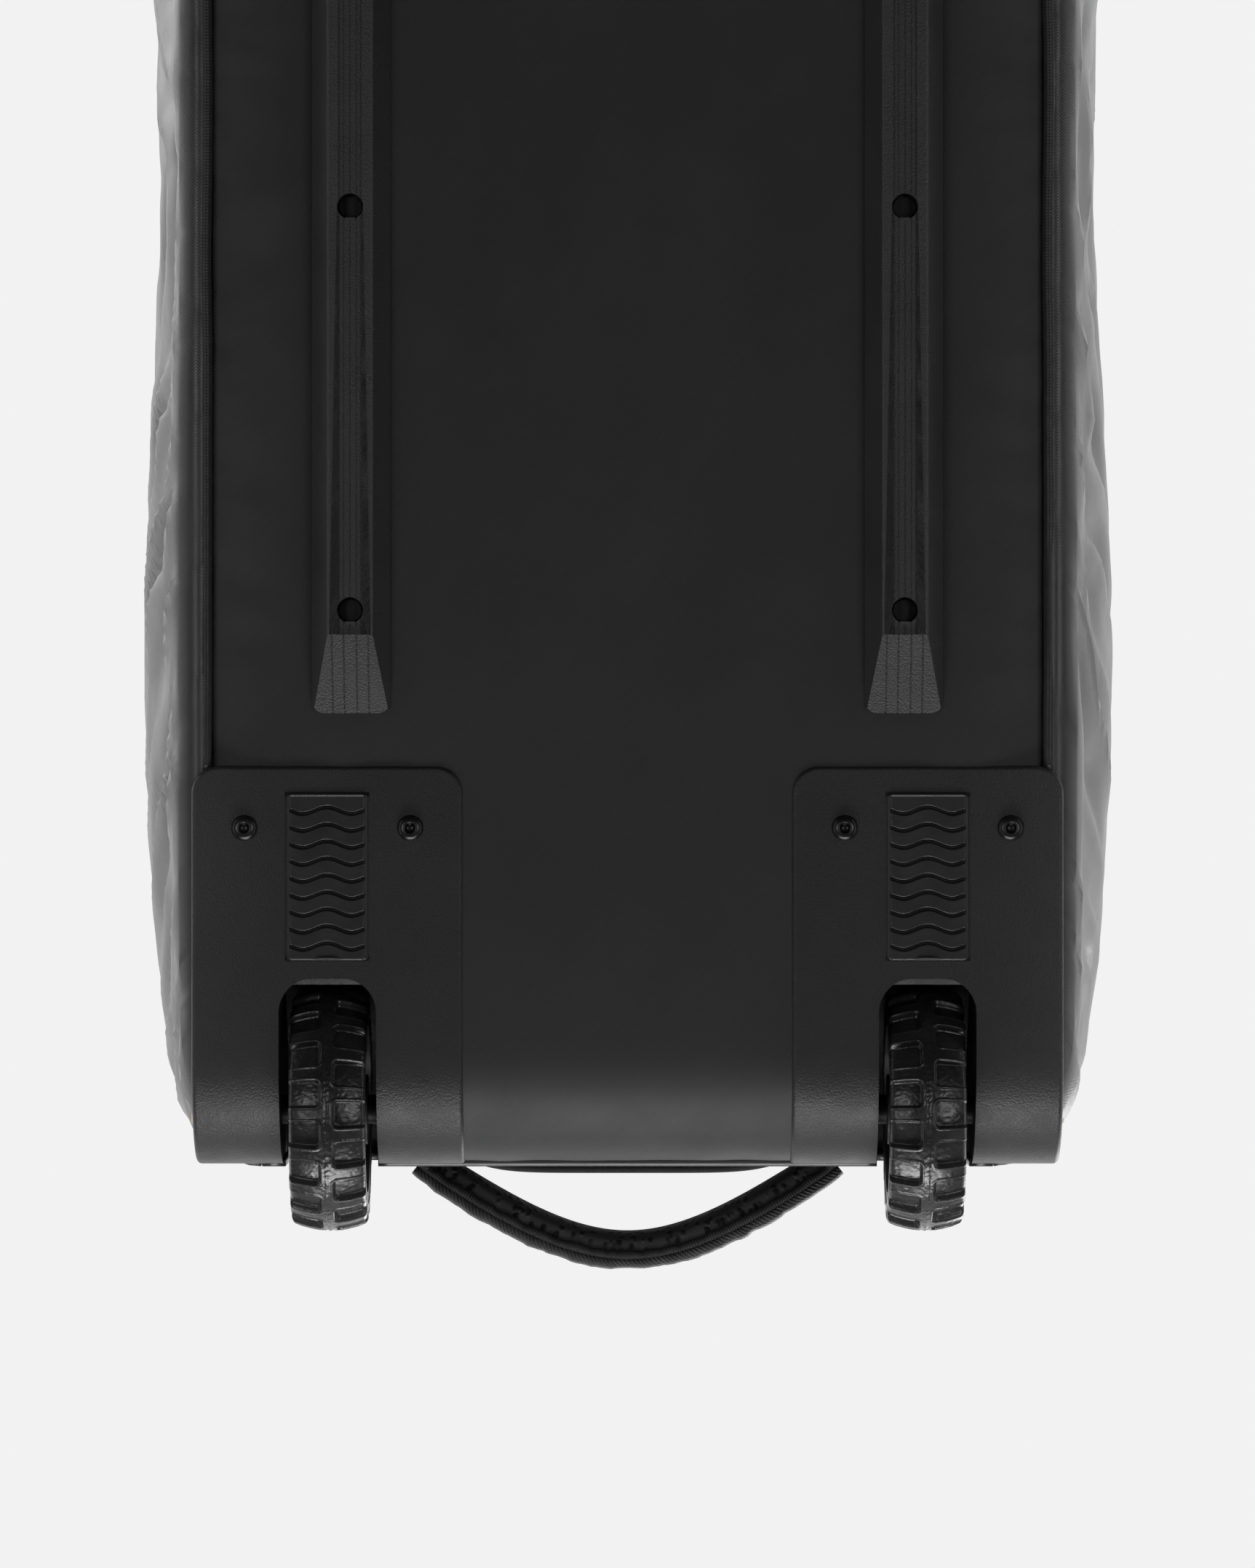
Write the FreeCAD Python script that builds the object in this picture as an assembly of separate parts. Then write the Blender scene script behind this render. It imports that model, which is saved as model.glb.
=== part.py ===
import FreeCAD, Part
import math
import os

os.makedirs("parts", exist_ok=True)

# Inline rolling tote for three bowling balls, lying on its two skid rails and two wheels.
# Millimetres.  X across the bag, Y along it (wheel end at -Y, tow end at +Y), Z up from the floor.

V = FreeCAD.Vector

# ---------------------------------------------------------------- driving dimensions
HALF_LEN = 410.0          # fabric body, half its length
BULGE_HALF = 203.0        # half width at the widest point of the padded sides
BULGE_Z = 140.0
FOOT_HALF = 178.5         # half width where the sides meet the base
TOP_HALF = 186.0          # half width where the sides meet the top
SIDE_LOW_Z = 24.0
SIDE_TOP_Z = 282.0
BASE_Z = 16.0             # outer face of the base fabric
TOP_Z = 300.0
PLAN_R = 50.0             # upright corners of the body
CORNER_SEAM_X = 152.0     # side panels are sewn to the end panels here
WHEEL_CORNER_R = 44.0     # bottom corner at the wheel end
TOW_CORNER_R = 20.0
TOP_CORNER_R = 25.0
PANEL_T = 5.0             # padded side, end and top panels
BASE_T = 2.0              # coated base fabric
BASE_HALF = 170.5         # base panel out to the piping

PIPING_X = 173.0
PIPING_R = 2.3

RAIL_X = 113.3
RAIL_START = -226.0
RAIL_END = 353.0
RAIL_FOOT = 32.0
RAIL_CREST = 18.5
RAIL_CHANNEL = 9.6
RAIL_CHANNEL_D = 1.2
RAIL_RAMP = 32.0
RAIL_GROOVE = 0.7         # fine lengthwise grooves in the channel floor and in the ramps
RAIL_HOLE_R = 5.35
RAIL_HOLE_Y = [-184.0, -19.0, 146.0, 311.0]

WHEEL_X = 123.1
WHEEL_Y = -390.0
WHEEL_R = 50.0
WHEEL_W = 31.4
WHEEL_EDGE_R = 46.5       # crown drops 3.5 mm to the shoulders
CORE_R = 39.0
CORE_W = 30.8
POCKETS = 18              # tread pockets in each of two rows
POCKET_ARC = 11.2
POCKET_D = 3.0
BAND_HALF = 2.65          # plain centre band
BEARING_R = 11.0
BEARING_W = 7.0
AXLE_R = 4.0

HOUSING_W = 111.6
HOUSING_T = 3.0
HOUSING_END = -247.5      # inboard edge on the base
HOUSING_TOP = 135.0       # upper edge on the wheel-end panel
HOUSING_CORNER = 11.4
HOUSING_RIM = 2.0         # rounded rim of the outer face
SLOT_HALF = 20.0
SLOT_APEX = -334.8
SLOT_CORNER = 14.0
WELL_R = 55.2
WELL_WALL = 2.5
PAD_W = 34.4
PAD_Y = [-327.5, -258.2]
SCREW_DX = 34.0
SCREW_Y = -273.0
SCREW_END_Z = 112.0
END_NUT_R = 7.0
WELL_CLEAR = 28.0         # half width of the space kept free for a wheel well and its axle ends

BOARD_Z = [18.2, 21.2]
FLOOR_Z = [44.0, 47.0]
TRAY_Z = [47.2, 95.0]
TRAY_HALF = 125.0         # raised middle block that carries the balls
TRAY_SHELF_Z = 60.0       # thin shelf under the bays on both sides
CUP_R = 112.0             # a ball is 109 mm in radius
CUP_Z = 167.0
BALL_PITCH = 250.0

TUBE_X = 80.0
TUBE_Z = 33.0
OUTER_R = 9.5
STAGE1_R = 8.0
STAGE2_R = 6.5
TUBE_WALL = 1.0
OUTER_Y = [-220.0, 408.0]
STAGE1_Y = [-200.0, 424.0]
STAGE2_Y = [-185.0, 446.0]
BEZEL_FACE = 421.0
GRIP_Y = [440.0, 460.0]
GRIP_Z = [22.0, 44.0]

LID_HALF_X = 158.0        # lid opening in the top
LID_HALF_Y = 380.0
LID_CORNER = 45.0
ZIP_W = 7.0               # each tape half
ZIP_END_X = -112.0        # the zip stops here, where the folded hinge side begins
SLIDER_Y = 20.0

HANDLE_HALF = 91.0        # padded sleeve of an end handle
HANDLE_OUT = 41.0         # from its root line to the outside of the sleeve
HANDLE_T = 16.5
HANDLE_W = 36.0
HANDLE_STANDOFF = 12.0    # root line to the panel
WEB_W = 22.0
WEB_T = 2.5
WEB_HALF = 98.0
WHEEL_HANDLE_Z = 150.0
TOW_HANDLE_Z = 190.0

SIDES = (("left", -1.0), ("right", 1.0))


# ---------------------------------------------------------------- helpers
def box(x0, x1, y0, y1, z0, z1):
    return Part.makeBox(x1 - x0, y1 - y0, z1 - z0, V(x0, y0, z0))


def cyl(x, y, z, axis, radius, length):
    return Part.makeCylinder(radius, length, V(x, y, z), V(*axis))


def arc(a, b, c):
    return Part.Arc(V(*a), V(*b), V(*c)).toShape()


def line(a, b):
    return Part.makeLine(V(*a), V(*b))


def face_of(edges):
    return Part.Face(Part.Wire(edges))


def ring_y(x, z, r_out, r_in, y0, y1):
    """Round tube along Y."""
    outer = cyl(x, y0, z, (0, 1, 0), r_out, y1 - y0)
    return outer.cut(cyl(x, y0 - 1, z, (0, 1, 0), r_in, y1 - y0 + 2))


def ring_x(x0, x1, y, z, r_out, r_in):
    """Round tube along X."""
    outer = cyl(x0, y, z, (1, 0, 0), r_out, x1 - x0)
    return outer.cut(cyl(x0 - 1, y, z, (1, 0, 0), r_in, x1 - x0 + 2))


def rounded_rect(hx, hy, r, z0, z1):
    """Upright block on a rounded rectangle centred on the Z axis."""
    block = box(-hx, hx, -hy, hy, z0, z1)
    upright = [e for e in block.Edges if abs(e.Vertexes[0].Z - e.Vertexes[1].Z) > 0.5 * (z1 - z0)]
    return block.makeFillet(r, upright)


def round_edges(shape, radius, pick):
    """Fillet the edges that pick() accepts."""
    chosen = [e for e in shape.Edges if pick(e)]
    if not chosen:
        return shape
    return shape.makeFillet(radius, chosen)


def along(edge, axis):
    """True when a straight edge runs along the given axis index."""
    if len(edge.Vertexes) != 2:
        return False
    a = edge.Vertexes[0].Point
    b = edge.Vertexes[1].Point
    step = (b.x - a.x, b.y - a.y, b.z - a.z)
    return abs(step[axis]) > 0.99 * math.sqrt(sum(s * s for s in step))


def save(name, shape):
    if isinstance(shape, list):
        shape = Part.makeCompound(shape)
    elif len(shape.Solids) == 1:
        shape = shape.Solids[0]
    shape.exportStep("parts/" + name + ".step")


# ---------------------------------------------------------------- body envelope
def envelope(inset, base_inset):
    """The bag's body as one block, its faces moved in by inset (the base by base_inset)."""
    low = BASE_Z + base_inset
    top = TOP_Z - inset
    foot = FOOT_HALF - inset
    head = TOP_HALF - inset
    bulge = BULGE_HALF - inset
    head_r = 18.0 - 0.4 * inset
    long_y = HALF_LEN + 20
    right = arc((foot, -long_y, SIDE_LOW_Z), (bulge, -long_y, BULGE_Z), (head, -long_y, SIDE_TOP_Z))
    left = arc((-head, -long_y, SIDE_TOP_Z), (-bulge, -long_y, BULGE_Z), (-foot, -long_y, SIDE_LOW_Z))
    mid = 0.3 * head_r
    rim = head - head_r
    head_right = arc((head, -long_y, SIDE_TOP_Z), (head - mid, -long_y, top - mid), (rim, -long_y, top))
    head_left = arc((-rim, -long_y, top), (-head + mid, -long_y, top - mid), (-head, -long_y, SIDE_TOP_Z))
    foot_in = 166.0 - inset
    section = [
        line((-foot_in, -long_y, low), (foot_in, -long_y, low)),
        line((foot_in, -long_y, low), (foot, -long_y, SIDE_LOW_Z)),
        right,
        head_right,
        line((head - head_r, -long_y, top), (-head + head_r, -long_y, top)),
        head_left,
        left,
        line((-foot, -long_y, SIDE_LOW_Z), (-foot_in, -long_y, low)),
    ]
    across = face_of(section).extrude(V(0, 2 * long_y, 0))
    end = HALF_LEN - inset
    length = box(-300, 300, -end, end, low, top)
    wheel_r = WHEEL_CORNER_R - 0.5 * (inset + base_inset)
    tow_r = TOW_CORNER_R - 0.5 * (inset + base_inset)
    corners = (
        (wheel_r, lambda e: e.CenterOfMass.y < 0 and e.CenterOfMass.z < 100),
        (tow_r, lambda e: e.CenterOfMass.y > 0 and e.CenterOfMass.z < 100),
        (TOP_CORNER_R - inset, lambda e: e.CenterOfMass.z > 200),
    )
    for radius, place in corners:
        length = round_edges(length, radius,
                             lambda e: along(e, 0) and abs(e.CenterOfMass.y) > end - 1 and place(e))
    plan = rounded_rect(BULGE_HALF + 0.5 - inset, end, PLAN_R - inset, low - 5, top + 5)
    return across.common(length).common(plan)


outer = envelope(0.0, 0.0)
inner = envelope(PANEL_T, BASE_T)
lining = envelope(PANEL_T + 0.5, BASE_T + 0.2)     # what lies inside stays half a millimetre clear
shell = outer.cut(inner)

# Space kept free for the two wheel wells.
wells = []
for side, s in SIDES:
    cx = s * WHEEL_X
    wells.append(box(cx - WELL_CLEAR, cx + WELL_CLEAR, -415, SLOT_APEX + 4, 0, WHEEL_R + WELL_R + 4))
wells = Part.makeCompound(wells)


def fastener_holes(radius):
    """Upright clearance holes for the rail and housing screws."""
    holes = []
    for side, s in SIDES:
        for y in RAIL_HOLE_Y:
            holes.append(cyl(s * RAIL_X, y, 5, (0, 0, 1), radius, 22))
        for dx in (-SCREW_DX, SCREW_DX):
            holes.append(cyl(s * WHEEL_X + dx, SCREW_Y, 5, (0, 0, 1), radius, 22))
    return Part.makeCompound(holes)


def end_holes(radius):
    """Level clearance holes for the housing screws in the wheel-end panel."""
    holes = []
    for side, s in SIDES:
        for dx in (-SCREW_DX, SCREW_DX):
            holes.append(cyl(s * WHEEL_X + dx, -420, SCREW_END_Z, (0, 1, 0), radius, 25))
    return Part.makeCompound(holes)


def nut_seats():
    """Flat seats for the end nuts on the inner face of the wheel-end panel."""
    seats = []
    for side, s in SIDES:
        for dx in (-SCREW_DX, SCREW_DX):
            x = s * WHEEL_X + dx
            seats.append(cyl(x, -HALF_LEN + PANEL_T, SCREW_END_Z, (0, 1, 0), END_NUT_R + 0.2, 10))
    return Part.makeCompound(seats)


# Tow-end opening for the bezel of the tow handle.
bezel_hole = box(-100.4, 100.4, 375, 430, 22.6, 44.4)

# ---------------------------------------------------------------- fabric panels
piping_room = []
for side, s in SIDES:
    piping_room.append(cyl(s * PIPING_X, -430, BASE_Z + 0.4, (0, 1, 0), PIPING_R + 0.1, 860))
piping_room = Part.makeCompound(piping_room)

base_zone = box(-BASE_HALF, BASE_HALF, -360, 385, 10, 23)
base_zone = base_zone.fuse(box(-BASE_HALF, BASE_HALF, -412, -360, 10, 60))
base_zone = base_zone.fuse(box(-BASE_HALF, BASE_HALF, 385, 412, 10, 36))
base_panel = shell.common(base_zone).cut(wells).cut(fastener_holes(2.4)).cut(piping_room).cut(bezel_hole)
save("base_panel", base_panel)

walls = shell.cut(base_zone).common(box(-250, 250, -412, 412, 10, SIDE_TOP_Z)).cut(piping_room)
walls = walls.cut(wells).cut(end_holes(2.4)).cut(nut_seats()).cut(bezel_hole)
# Each side panel wraps round both upright corners and is sewn to the end panels there.
middle = box(-CORNER_SEAM_X, CORNER_SEAM_X, -412, 412, 10, 290)
save("left_side_panel", walls.common(box(-250, -CORNER_SEAM_X, -412, 412, 10, 290)))
save("right_side_panel", walls.common(box(CORNER_SEAM_X, 250, -412, 412, 10, 290)))
save("wheel_end_panel", walls.common(middle).common(box(-250, 250, -412, 0, 10, 290)))
save("tow_end_panel", walls.common(middle).common(box(-250, 250, 0, 412, 10, 290)))

lid_opening = rounded_rect(LID_HALF_X, LID_HALF_Y, LID_CORNER, 280, 310)
top_rim = shell.common(box(-250, 250, -412, 412, SIDE_TOP_Z, 310)).cut(lid_opening)
save("top_rim", top_rim)


def lid_outline(inset, z0, z1):
    return rounded_rect(LID_HALF_X - inset, LID_HALF_Y - inset, LID_CORNER - inset, z0, z1)


zip_side = box(ZIP_END_X + 0.3, 300, -500, 500, 280, 320)
fold_side = box(-300, ZIP_END_X, -500, 500, 280, 320)
lid_panel = lid_outline(2 * ZIP_W + 0.4, TOP_Z - PANEL_T, TOP_Z)
lid_panel = lid_panel.fuse(lid_outline(0.5, TOP_Z - PANEL_T, TOP_Z).common(fold_side)).removeSplitter()
save("lid_panel", lid_panel)


def zip_half(first, last, coil_first, coil_last):
    """Tape with its half of the coil, between two insets of the lid outline."""
    tape = lid_outline(first, 297.0, 298.2).cut(lid_outline(last, 290, 310))
    coil = lid_outline(coil_first, 296.6, 299.0).cut(lid_outline(coil_last, 290, 310))
    return tape.fuse(coil).common(zip_side).removeSplitter()


save("body_zip_half", zip_half(0.1, ZIP_W - 0.1, ZIP_W - 2.1, ZIP_W - 0.1))
save("lid_zip_half", zip_half(ZIP_W + 0.2, 2 * ZIP_W + 0.3, ZIP_W + 0.2, ZIP_W + 2.2))

zip_x = LID_HALF_X - ZIP_W
for name, s in (("tow", 1.0), ("wheel", -1.0)):
    y = s * SLIDER_Y
    slider = box(zip_x - 5, zip_x + 5, y - 8, y + 8, 299.3, 302.3)
    slider = round_edges(slider, 3.0, lambda e: along(e, 2))
    bridge = box(zip_x - 1.5, zip_x + 1.5, y - 5, y + 5, 302.3, 305.0)
    bridge = bridge.cut(cyl(zip_x - 3, y, 303.6, (1, 0, 0), 0.85, 6))
    save(name + "_zip_slider", slider.fuse(bridge))
    ring = box(zip_x - 4, zip_x + 4, min(y - s * 3.0, y + s * 32), max(y - s * 3.0, y + s * 32), 302.9, 304.3)
    window = box(zip_x - 2.2, zip_x + 2.2, min(y - s * 2.2, y + s * 8), max(y - s * 2.2, y + s * 8), 300, 310)
    ring = ring.cut(window).cut(box(zip_x - 6, zip_x + 6, y - 4.5, y + 4.5, 300, 310))
    near = min(y, y + s * 4.5)
    stub_a = box(zip_x - 4, zip_x - 2.2, near, near + 4.5, 302.9, 304.3)
    stub_b = box(zip_x + 2.2, zip_x + 4, near, near + 4.5, 302.9, 304.3)
    pin = cyl(zip_x - 4, y, 303.6, (1, 0, 0), 0.7, 8)
    save(name + "_zip_pull", ring.fuse([stub_a, stub_b, pin]).removeSplitter())

for side, s in SIDES:
    save(side + "_piping", cyl(s * PIPING_X, HOUSING_END + 1, BASE_Z + 0.4, (0, 1, 0), PIPING_R, 630))

# ---------------------------------------------------------------- skid rails
screws = []
nuts = []
for side, s in SIDES:
    cx = s * RAIL_X
    half_foot = 0.5 * RAIL_FOOT
    half_crest = 0.5 * RAIL_CREST
    corners = [
        (cx - half_foot, RAIL_START, BASE_Z),
        (cx - half_foot, RAIL_START, BASE_Z - 2),
        (cx - half_crest, RAIL_START, 0),
        (cx + half_crest, RAIL_START, 0),
        (cx + half_foot, RAIL_START, BASE_Z - 2),
        (cx + half_foot, RAIL_START, BASE_Z),
    ]
    section = Part.makePolygon([V(*c) for c in corners + corners[:1]])
    rail = Part.Face(section).extrude(V(0, RAIL_END - RAIL_START, 0))
    rail = round_edges(rail, 5.0, lambda e: along(e, 2) and e.BoundBox.ZMin > BASE_Z - 2.5)
    rail = round_edges(rail, 1.2, lambda e: along(e, 1) and e.BoundBox.ZMax < 0.1)
    for y_end, inward in ((RAIL_START, 1.0), (RAIL_END, -1.0)):
        toe = [
            (cx - 30, y_end + inward * RAIL_RAMP, 0),
            (cx - 30, y_end, BASE_Z - 3),
            (cx - 30, y_end - inward * 5, BASE_Z - 3),
            (cx - 30, y_end - inward * 5, -5),
            (cx - 30, y_end + inward * RAIL_RAMP, -5),
        ]
        wedge = Part.Face(Part.makePolygon([V(*c) for c in toe + toe[:1]])).extrude(V(60, 0, 0))
        rail = rail.cut(wedge)
        for dx in (-7.4, -2.6, 2.6, 7.4):
            lane_x = cx + dx - 0.5 * RAIL_GROOVE
            lane = box(lane_x, lane_x + RAIL_GROOVE, RAIL_START - 10, RAIL_END + 10, -10, 20)
            deeper = wedge.copy()
            deeper.translate(V(0, inward * 0.3, 0.9))
            rail = rail.cut(deeper.common(lane))
    half_channel = 0.5 * RAIL_CHANNEL
    channel = box(cx - half_channel, cx + half_channel, RAIL_START + RAIL_RAMP, RAIL_END - RAIL_RAMP,
                  -1, RAIL_CHANNEL_D)
    rail = rail.cut(channel)
    for dx in (-2.6, 0.0, 2.6):
        groove = box(cx + dx - 0.25, cx + dx + 0.25, RAIL_START + RAIL_RAMP, RAIL_END - RAIL_RAMP,
                     0.5, RAIL_CHANNEL_D + 0.35)
        rail = rail.cut(groove)
    for y in RAIL_HOLE_Y:
        rail = rail.cut(cyl(cx, y, -1, (0, 0, 1), RAIL_HOLE_R, 12))
        rail = rail.cut(cyl(cx, y, 5, (0, 0, 1), 2.4, 20))
        lug = box(cx - 2, cx + 2, y - RAIL_HOLE_R - 0.5, y - RAIL_HOLE_R + 0.7, 0.6, 11)
        rail = rail.fuse(lug).removeSplitter()
        head = cyl(cx, y, 8.4, (0, 0, 1), 4.4, 2.6)
        shank = cyl(cx, y, 11, (0, 0, 1), 2.2, 13.4)
        screws.append(head.fuse(shank))
        nuts.append(cyl(cx, y, BOARD_Z[1], (0, 0, 1), 8.0, 1.5).cut(cyl(cx, y, 15, (0, 0, 1), 2.25, 20)))
    save(side + "_skid_rail", rail)
save("rail_screws", screws)
save("rail_nuts", nuts)

# ---------------------------------------------------------------- wheel housings and wheels
def wave(x):
    """Height of a scuff-pad groove at x from the pad's middle: 20 mm waves, 2.7 mm peak to peak."""
    return 1.35 * math.cos(2 * math.pi * x / 20.0)


def outside_edge(edge, x0):
    """True for an edge of the housing plate's outer face that bounds it."""
    low = BASE_Z - HOUSING_T
    front = -HALF_LEN - HOUSING_T
    out_r = WHEEL_CORNER_R + HOUSING_T
    points = [v.Point for v in edge.Vertexes]
    points.append(edge.valueAt(0.5 * (edge.FirstParameter + edge.LastParameter)))
    for p in points:
        on_base = abs(p.z - low) < 0.01 and p.y > -HALF_LEN + WHEEL_CORNER_R - 0.01
        on_end = abs(p.y - front) < 0.01 and p.z > BASE_Z + WHEEL_CORNER_R - 0.01
        bend = math.hypot(p.y + HALF_LEN - WHEEL_CORNER_R, p.z - BASE_Z - WHEEL_CORNER_R)
        if not (on_base or on_end or abs(bend - out_r) < 0.01):
            return False
    middle = points[-1]
    across = abs(middle.x - x0 - 0.5 * HOUSING_W) < 0.5 * HOUSING_W - HOUSING_CORNER - 0.01
    inner_line = across and abs(middle.y - HOUSING_END) > 0.1 and abs(middle.z - HOUSING_TOP) > 0.1
    return not inner_line


screws = []
nuts = []
spacers = []
for side, s in SIDES:
    cx = s * WHEEL_X
    x0 = cx - 0.5 * HOUSING_W
    out_r = WHEEL_CORNER_R + HOUSING_T
    low = BASE_Z - HOUSING_T
    front = -HALF_LEN - HOUSING_T
    bend = -HALF_LEN + WHEEL_CORNER_R
    bend_z = BASE_Z + WHEEL_CORNER_R
    k = math.sqrt(0.5)
    angle_plate = [
        line((x0, HOUSING_END, low), (x0, bend, low)),
        arc((x0, bend, low), (x0, bend - k * out_r, bend_z - k * out_r), (x0, front, bend_z)),
        line((x0, front, bend_z), (x0, front, HOUSING_TOP)),
        line((x0, front, HOUSING_TOP), (x0, -HALF_LEN, HOUSING_TOP)),
        line((x0, -HALF_LEN, HOUSING_TOP), (x0, -HALF_LEN, bend_z)),
        arc((x0, -HALF_LEN, bend_z),
            (x0, bend - k * WHEEL_CORNER_R, bend_z - k * WHEEL_CORNER_R), (x0, bend, BASE_Z)),
        line((x0, bend, BASE_Z), (x0, HOUSING_END, BASE_Z)),
        line((x0, HOUSING_END, BASE_Z), (x0, HOUSING_END, low)),
    ]
    housing = face_of(angle_plate).extrude(V(HOUSING_W, 0, 0))
    housing = round_edges(housing, HOUSING_CORNER,
                          lambda e: along(e, 2) and abs(e.CenterOfMass.y - HOUSING_END) < 0.1)
    housing = round_edges(housing, HOUSING_CORNER,
                          lambda e: along(e, 1) and abs(e.CenterOfMass.z - HOUSING_TOP) < 0.1)

    rim = [e for e in housing.Edges if outside_edge(e, x0)]
    housing = housing.makeFillet(HOUSING_RIM, rim)

    # The tub round the wheel: straight walls, a round roof and an upright back wall.
    def tub(grow, half):
        roof = cyl(cx - half, WHEEL_Y, WHEEL_R, (1, 0, 0), WELL_R + grow, 2 * half)
        lower = box(cx - half, cx + half, -440, SLOT_APEX + grow, -10, WHEEL_R)
        lower = round_edges(lower, SLOT_CORNER + grow,
                            lambda e: along(e, 2) and abs(e.CenterOfMass.y - SLOT_APEX - grow) < 0.1)
        upper = box(cx - half, cx + half, -440, WHEEL_Y, WHEEL_R, WHEEL_R + WELL_R + grow)
        return roof.fuse([lower, upper]).common(box(cx - 60, cx + 60, -440, -300, -10, 200))

    inside_body = envelope(0.0, -0.1).common(box(-300, 300, -HALF_LEN, 0, BASE_Z, 200))
    housing = housing.fuse(tub(WELL_WALL, SLOT_HALF + WELL_WALL).common(inside_body))
    housing = housing.cut(tub(0.0, SLOT_HALF))
    axle_hole = cyl(cx - 40, WHEEL_Y, WHEEL_R, (1, 0, 0), AXLE_R + 0.05, 80)
    housing = housing.cut(axle_hole)
    room = 0.5 * PAD_W + 0.1
    pad_room = box(cx - room, cx + room, PAD_Y[0] - 0.1, PAD_Y[1] + 0.1, low - 1, low + 1.2)
    housing = housing.cut(pad_room)
    for dx in (-SCREW_DX, SCREW_DX):
        housing = housing.cut(cyl(cx + dx, SCREW_Y, 5, (0, 0, 1), 2.4, 22))
        housing = housing.cut(cyl(cx + dx, -420, SCREW_END_Z, (0, 1, 0), 2.4, 25))
    save(side + "_wheel_housing", housing.removeSplitter())

    # Ribbed rubber scuff pad let into the housing.
    pad = box(cx - 0.5 * PAD_W, cx + 0.5 * PAD_W, PAD_Y[0], PAD_Y[1], low - 1.0, low + 1.2)
    pad = round_edges(pad, 1.8, lambda e: along(e, 2))
    pad = pad.cut(box(cx - 15.9, cx + 15.9, PAD_Y[0] + 1.4, PAD_Y[1] - 1.4, low - 2, low - 0.4))
    for i in range(9):
        y = PAD_Y[1] - 7.6 - i * 6.96
        across = [-15.2 + 30.4 * k / 24 for k in range(25)]
        upper = [V(cx + x, y + wave(x) + 0.65, low - 1) for x in across]
        lower = [V(p.x, p.y - 1.3, p.z) for p in upper]
        top_line = Part.BSplineCurve()
        top_line.interpolate(upper)
        bottom_line = Part.BSplineCurve()
        bottom_line.interpolate(lower)
        loop = [top_line.toShape(), Part.makeLine(upper[-1], lower[-1]),
                bottom_line.toShape(), Part.makeLine(lower[0], upper[0])]
        groove = Part.Face(Part.Wire(Part.__sortEdges__(loop))).extrude(V(0, 0, 1.4))
        pad = pad.cut(groove)
    save(side + "_scuff_pad", pad)

    for dx in (-SCREW_DX, SCREW_DX):
        dome = Part.makeSphere(6.2, V(cx + dx, SCREW_Y, low + 3.6))
        dome = dome.common(cyl(cx + dx, SCREW_Y, low - 4, (0, 0, 1), 5.0, 4.0))
        screws.append(dome.fuse(cyl(cx + dx, SCREW_Y, low, (0, 0, 1), 2.2, 11)))
        nut = cyl(cx + dx, SCREW_Y, BOARD_Z[1], (0, 0, 1), 7.0, 1.5)
        nuts.append(nut.cut(cyl(cx + dx, SCREW_Y, 15, (0, 0, 1), 2.25, 20)))
        dome = Part.makeSphere(6.2, V(cx + dx, front + 3.6, SCREW_END_Z))
        dome = dome.common(cyl(cx + dx, front - 4, SCREW_END_Z, (0, 1, 0), 5.0, 4.0))
        screws.append(dome.fuse(cyl(cx + dx, front, SCREW_END_Z, (0, 1, 0), 2.2, 11)))
        nuts.append(ring_y(cx + dx, SCREW_END_Z, END_NUT_R, 2.25, -405.0, -403.5))

    # Tyre: crowned rubber ring with two staggered rows of tread pockets open to the sides.
    half = 0.5 * WHEEL_W

    def crown(drop, reach, floor_r):
        """Ring section under the crown line lowered by drop, as a solid of revolution."""
        edge_r = WHEEL_EDGE_R - drop
        top_r = WHEEL_R - drop
        pts = [V(cx - reach, 0, floor_r), V(cx - reach, 0, edge_r), V(cx, 0, top_r),
               V(cx + reach, 0, edge_r), V(cx + reach, 0, floor_r)]
        edges = [Part.makeLine(pts[0], pts[1]), Part.Arc(pts[1], pts[2], pts[3]).toShape(),
                 Part.makeLine(pts[3], pts[4]), Part.makeLine(pts[4], pts[0])]
        body = Part.Face(Part.Wire(edges)).revolve(V(0, 0, 0), V(1, 0, 0), 360)
        body.translate(V(0, WHEEL_Y, WHEEL_R))
        return body

    tyre = crown(0.0, half, CORE_R)
    kept = crown(POCKET_D, half, CORE_R)
    pockets = []
    for row, shift in ((-1.0, 0.0), (1.0, 0.5)):
        x_in = min(row * BAND_HALF, row * (half + 1))
        x_out = max(row * BAND_HALF, row * (half + 1))
        for i in range(POCKETS):
            wide = 0.5 * POCKET_ARC
            cutter = box(cx + x_in, cx + x_out, -wide, wide, WHEEL_EDGE_R - 6, WHEEL_R + 3)
            cutter = round_edges(cutter, 2.2,
                                 lambda e: along(e, 2) and abs(e.CenterOfMass.x - cx) < BAND_HALF + 0.1)
            cutter.rotate(V(0, 0, 0), V(1, 0, 0), 360.0 * (i + shift) / POCKETS)
            cutter.translate(V(0, WHEEL_Y, WHEEL_R))
            pockets.append(cutter.cut(kept))
    tyre = tyre.cut(Part.makeCompound(pockets))
    save(side + "_tyre", tyre)

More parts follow.
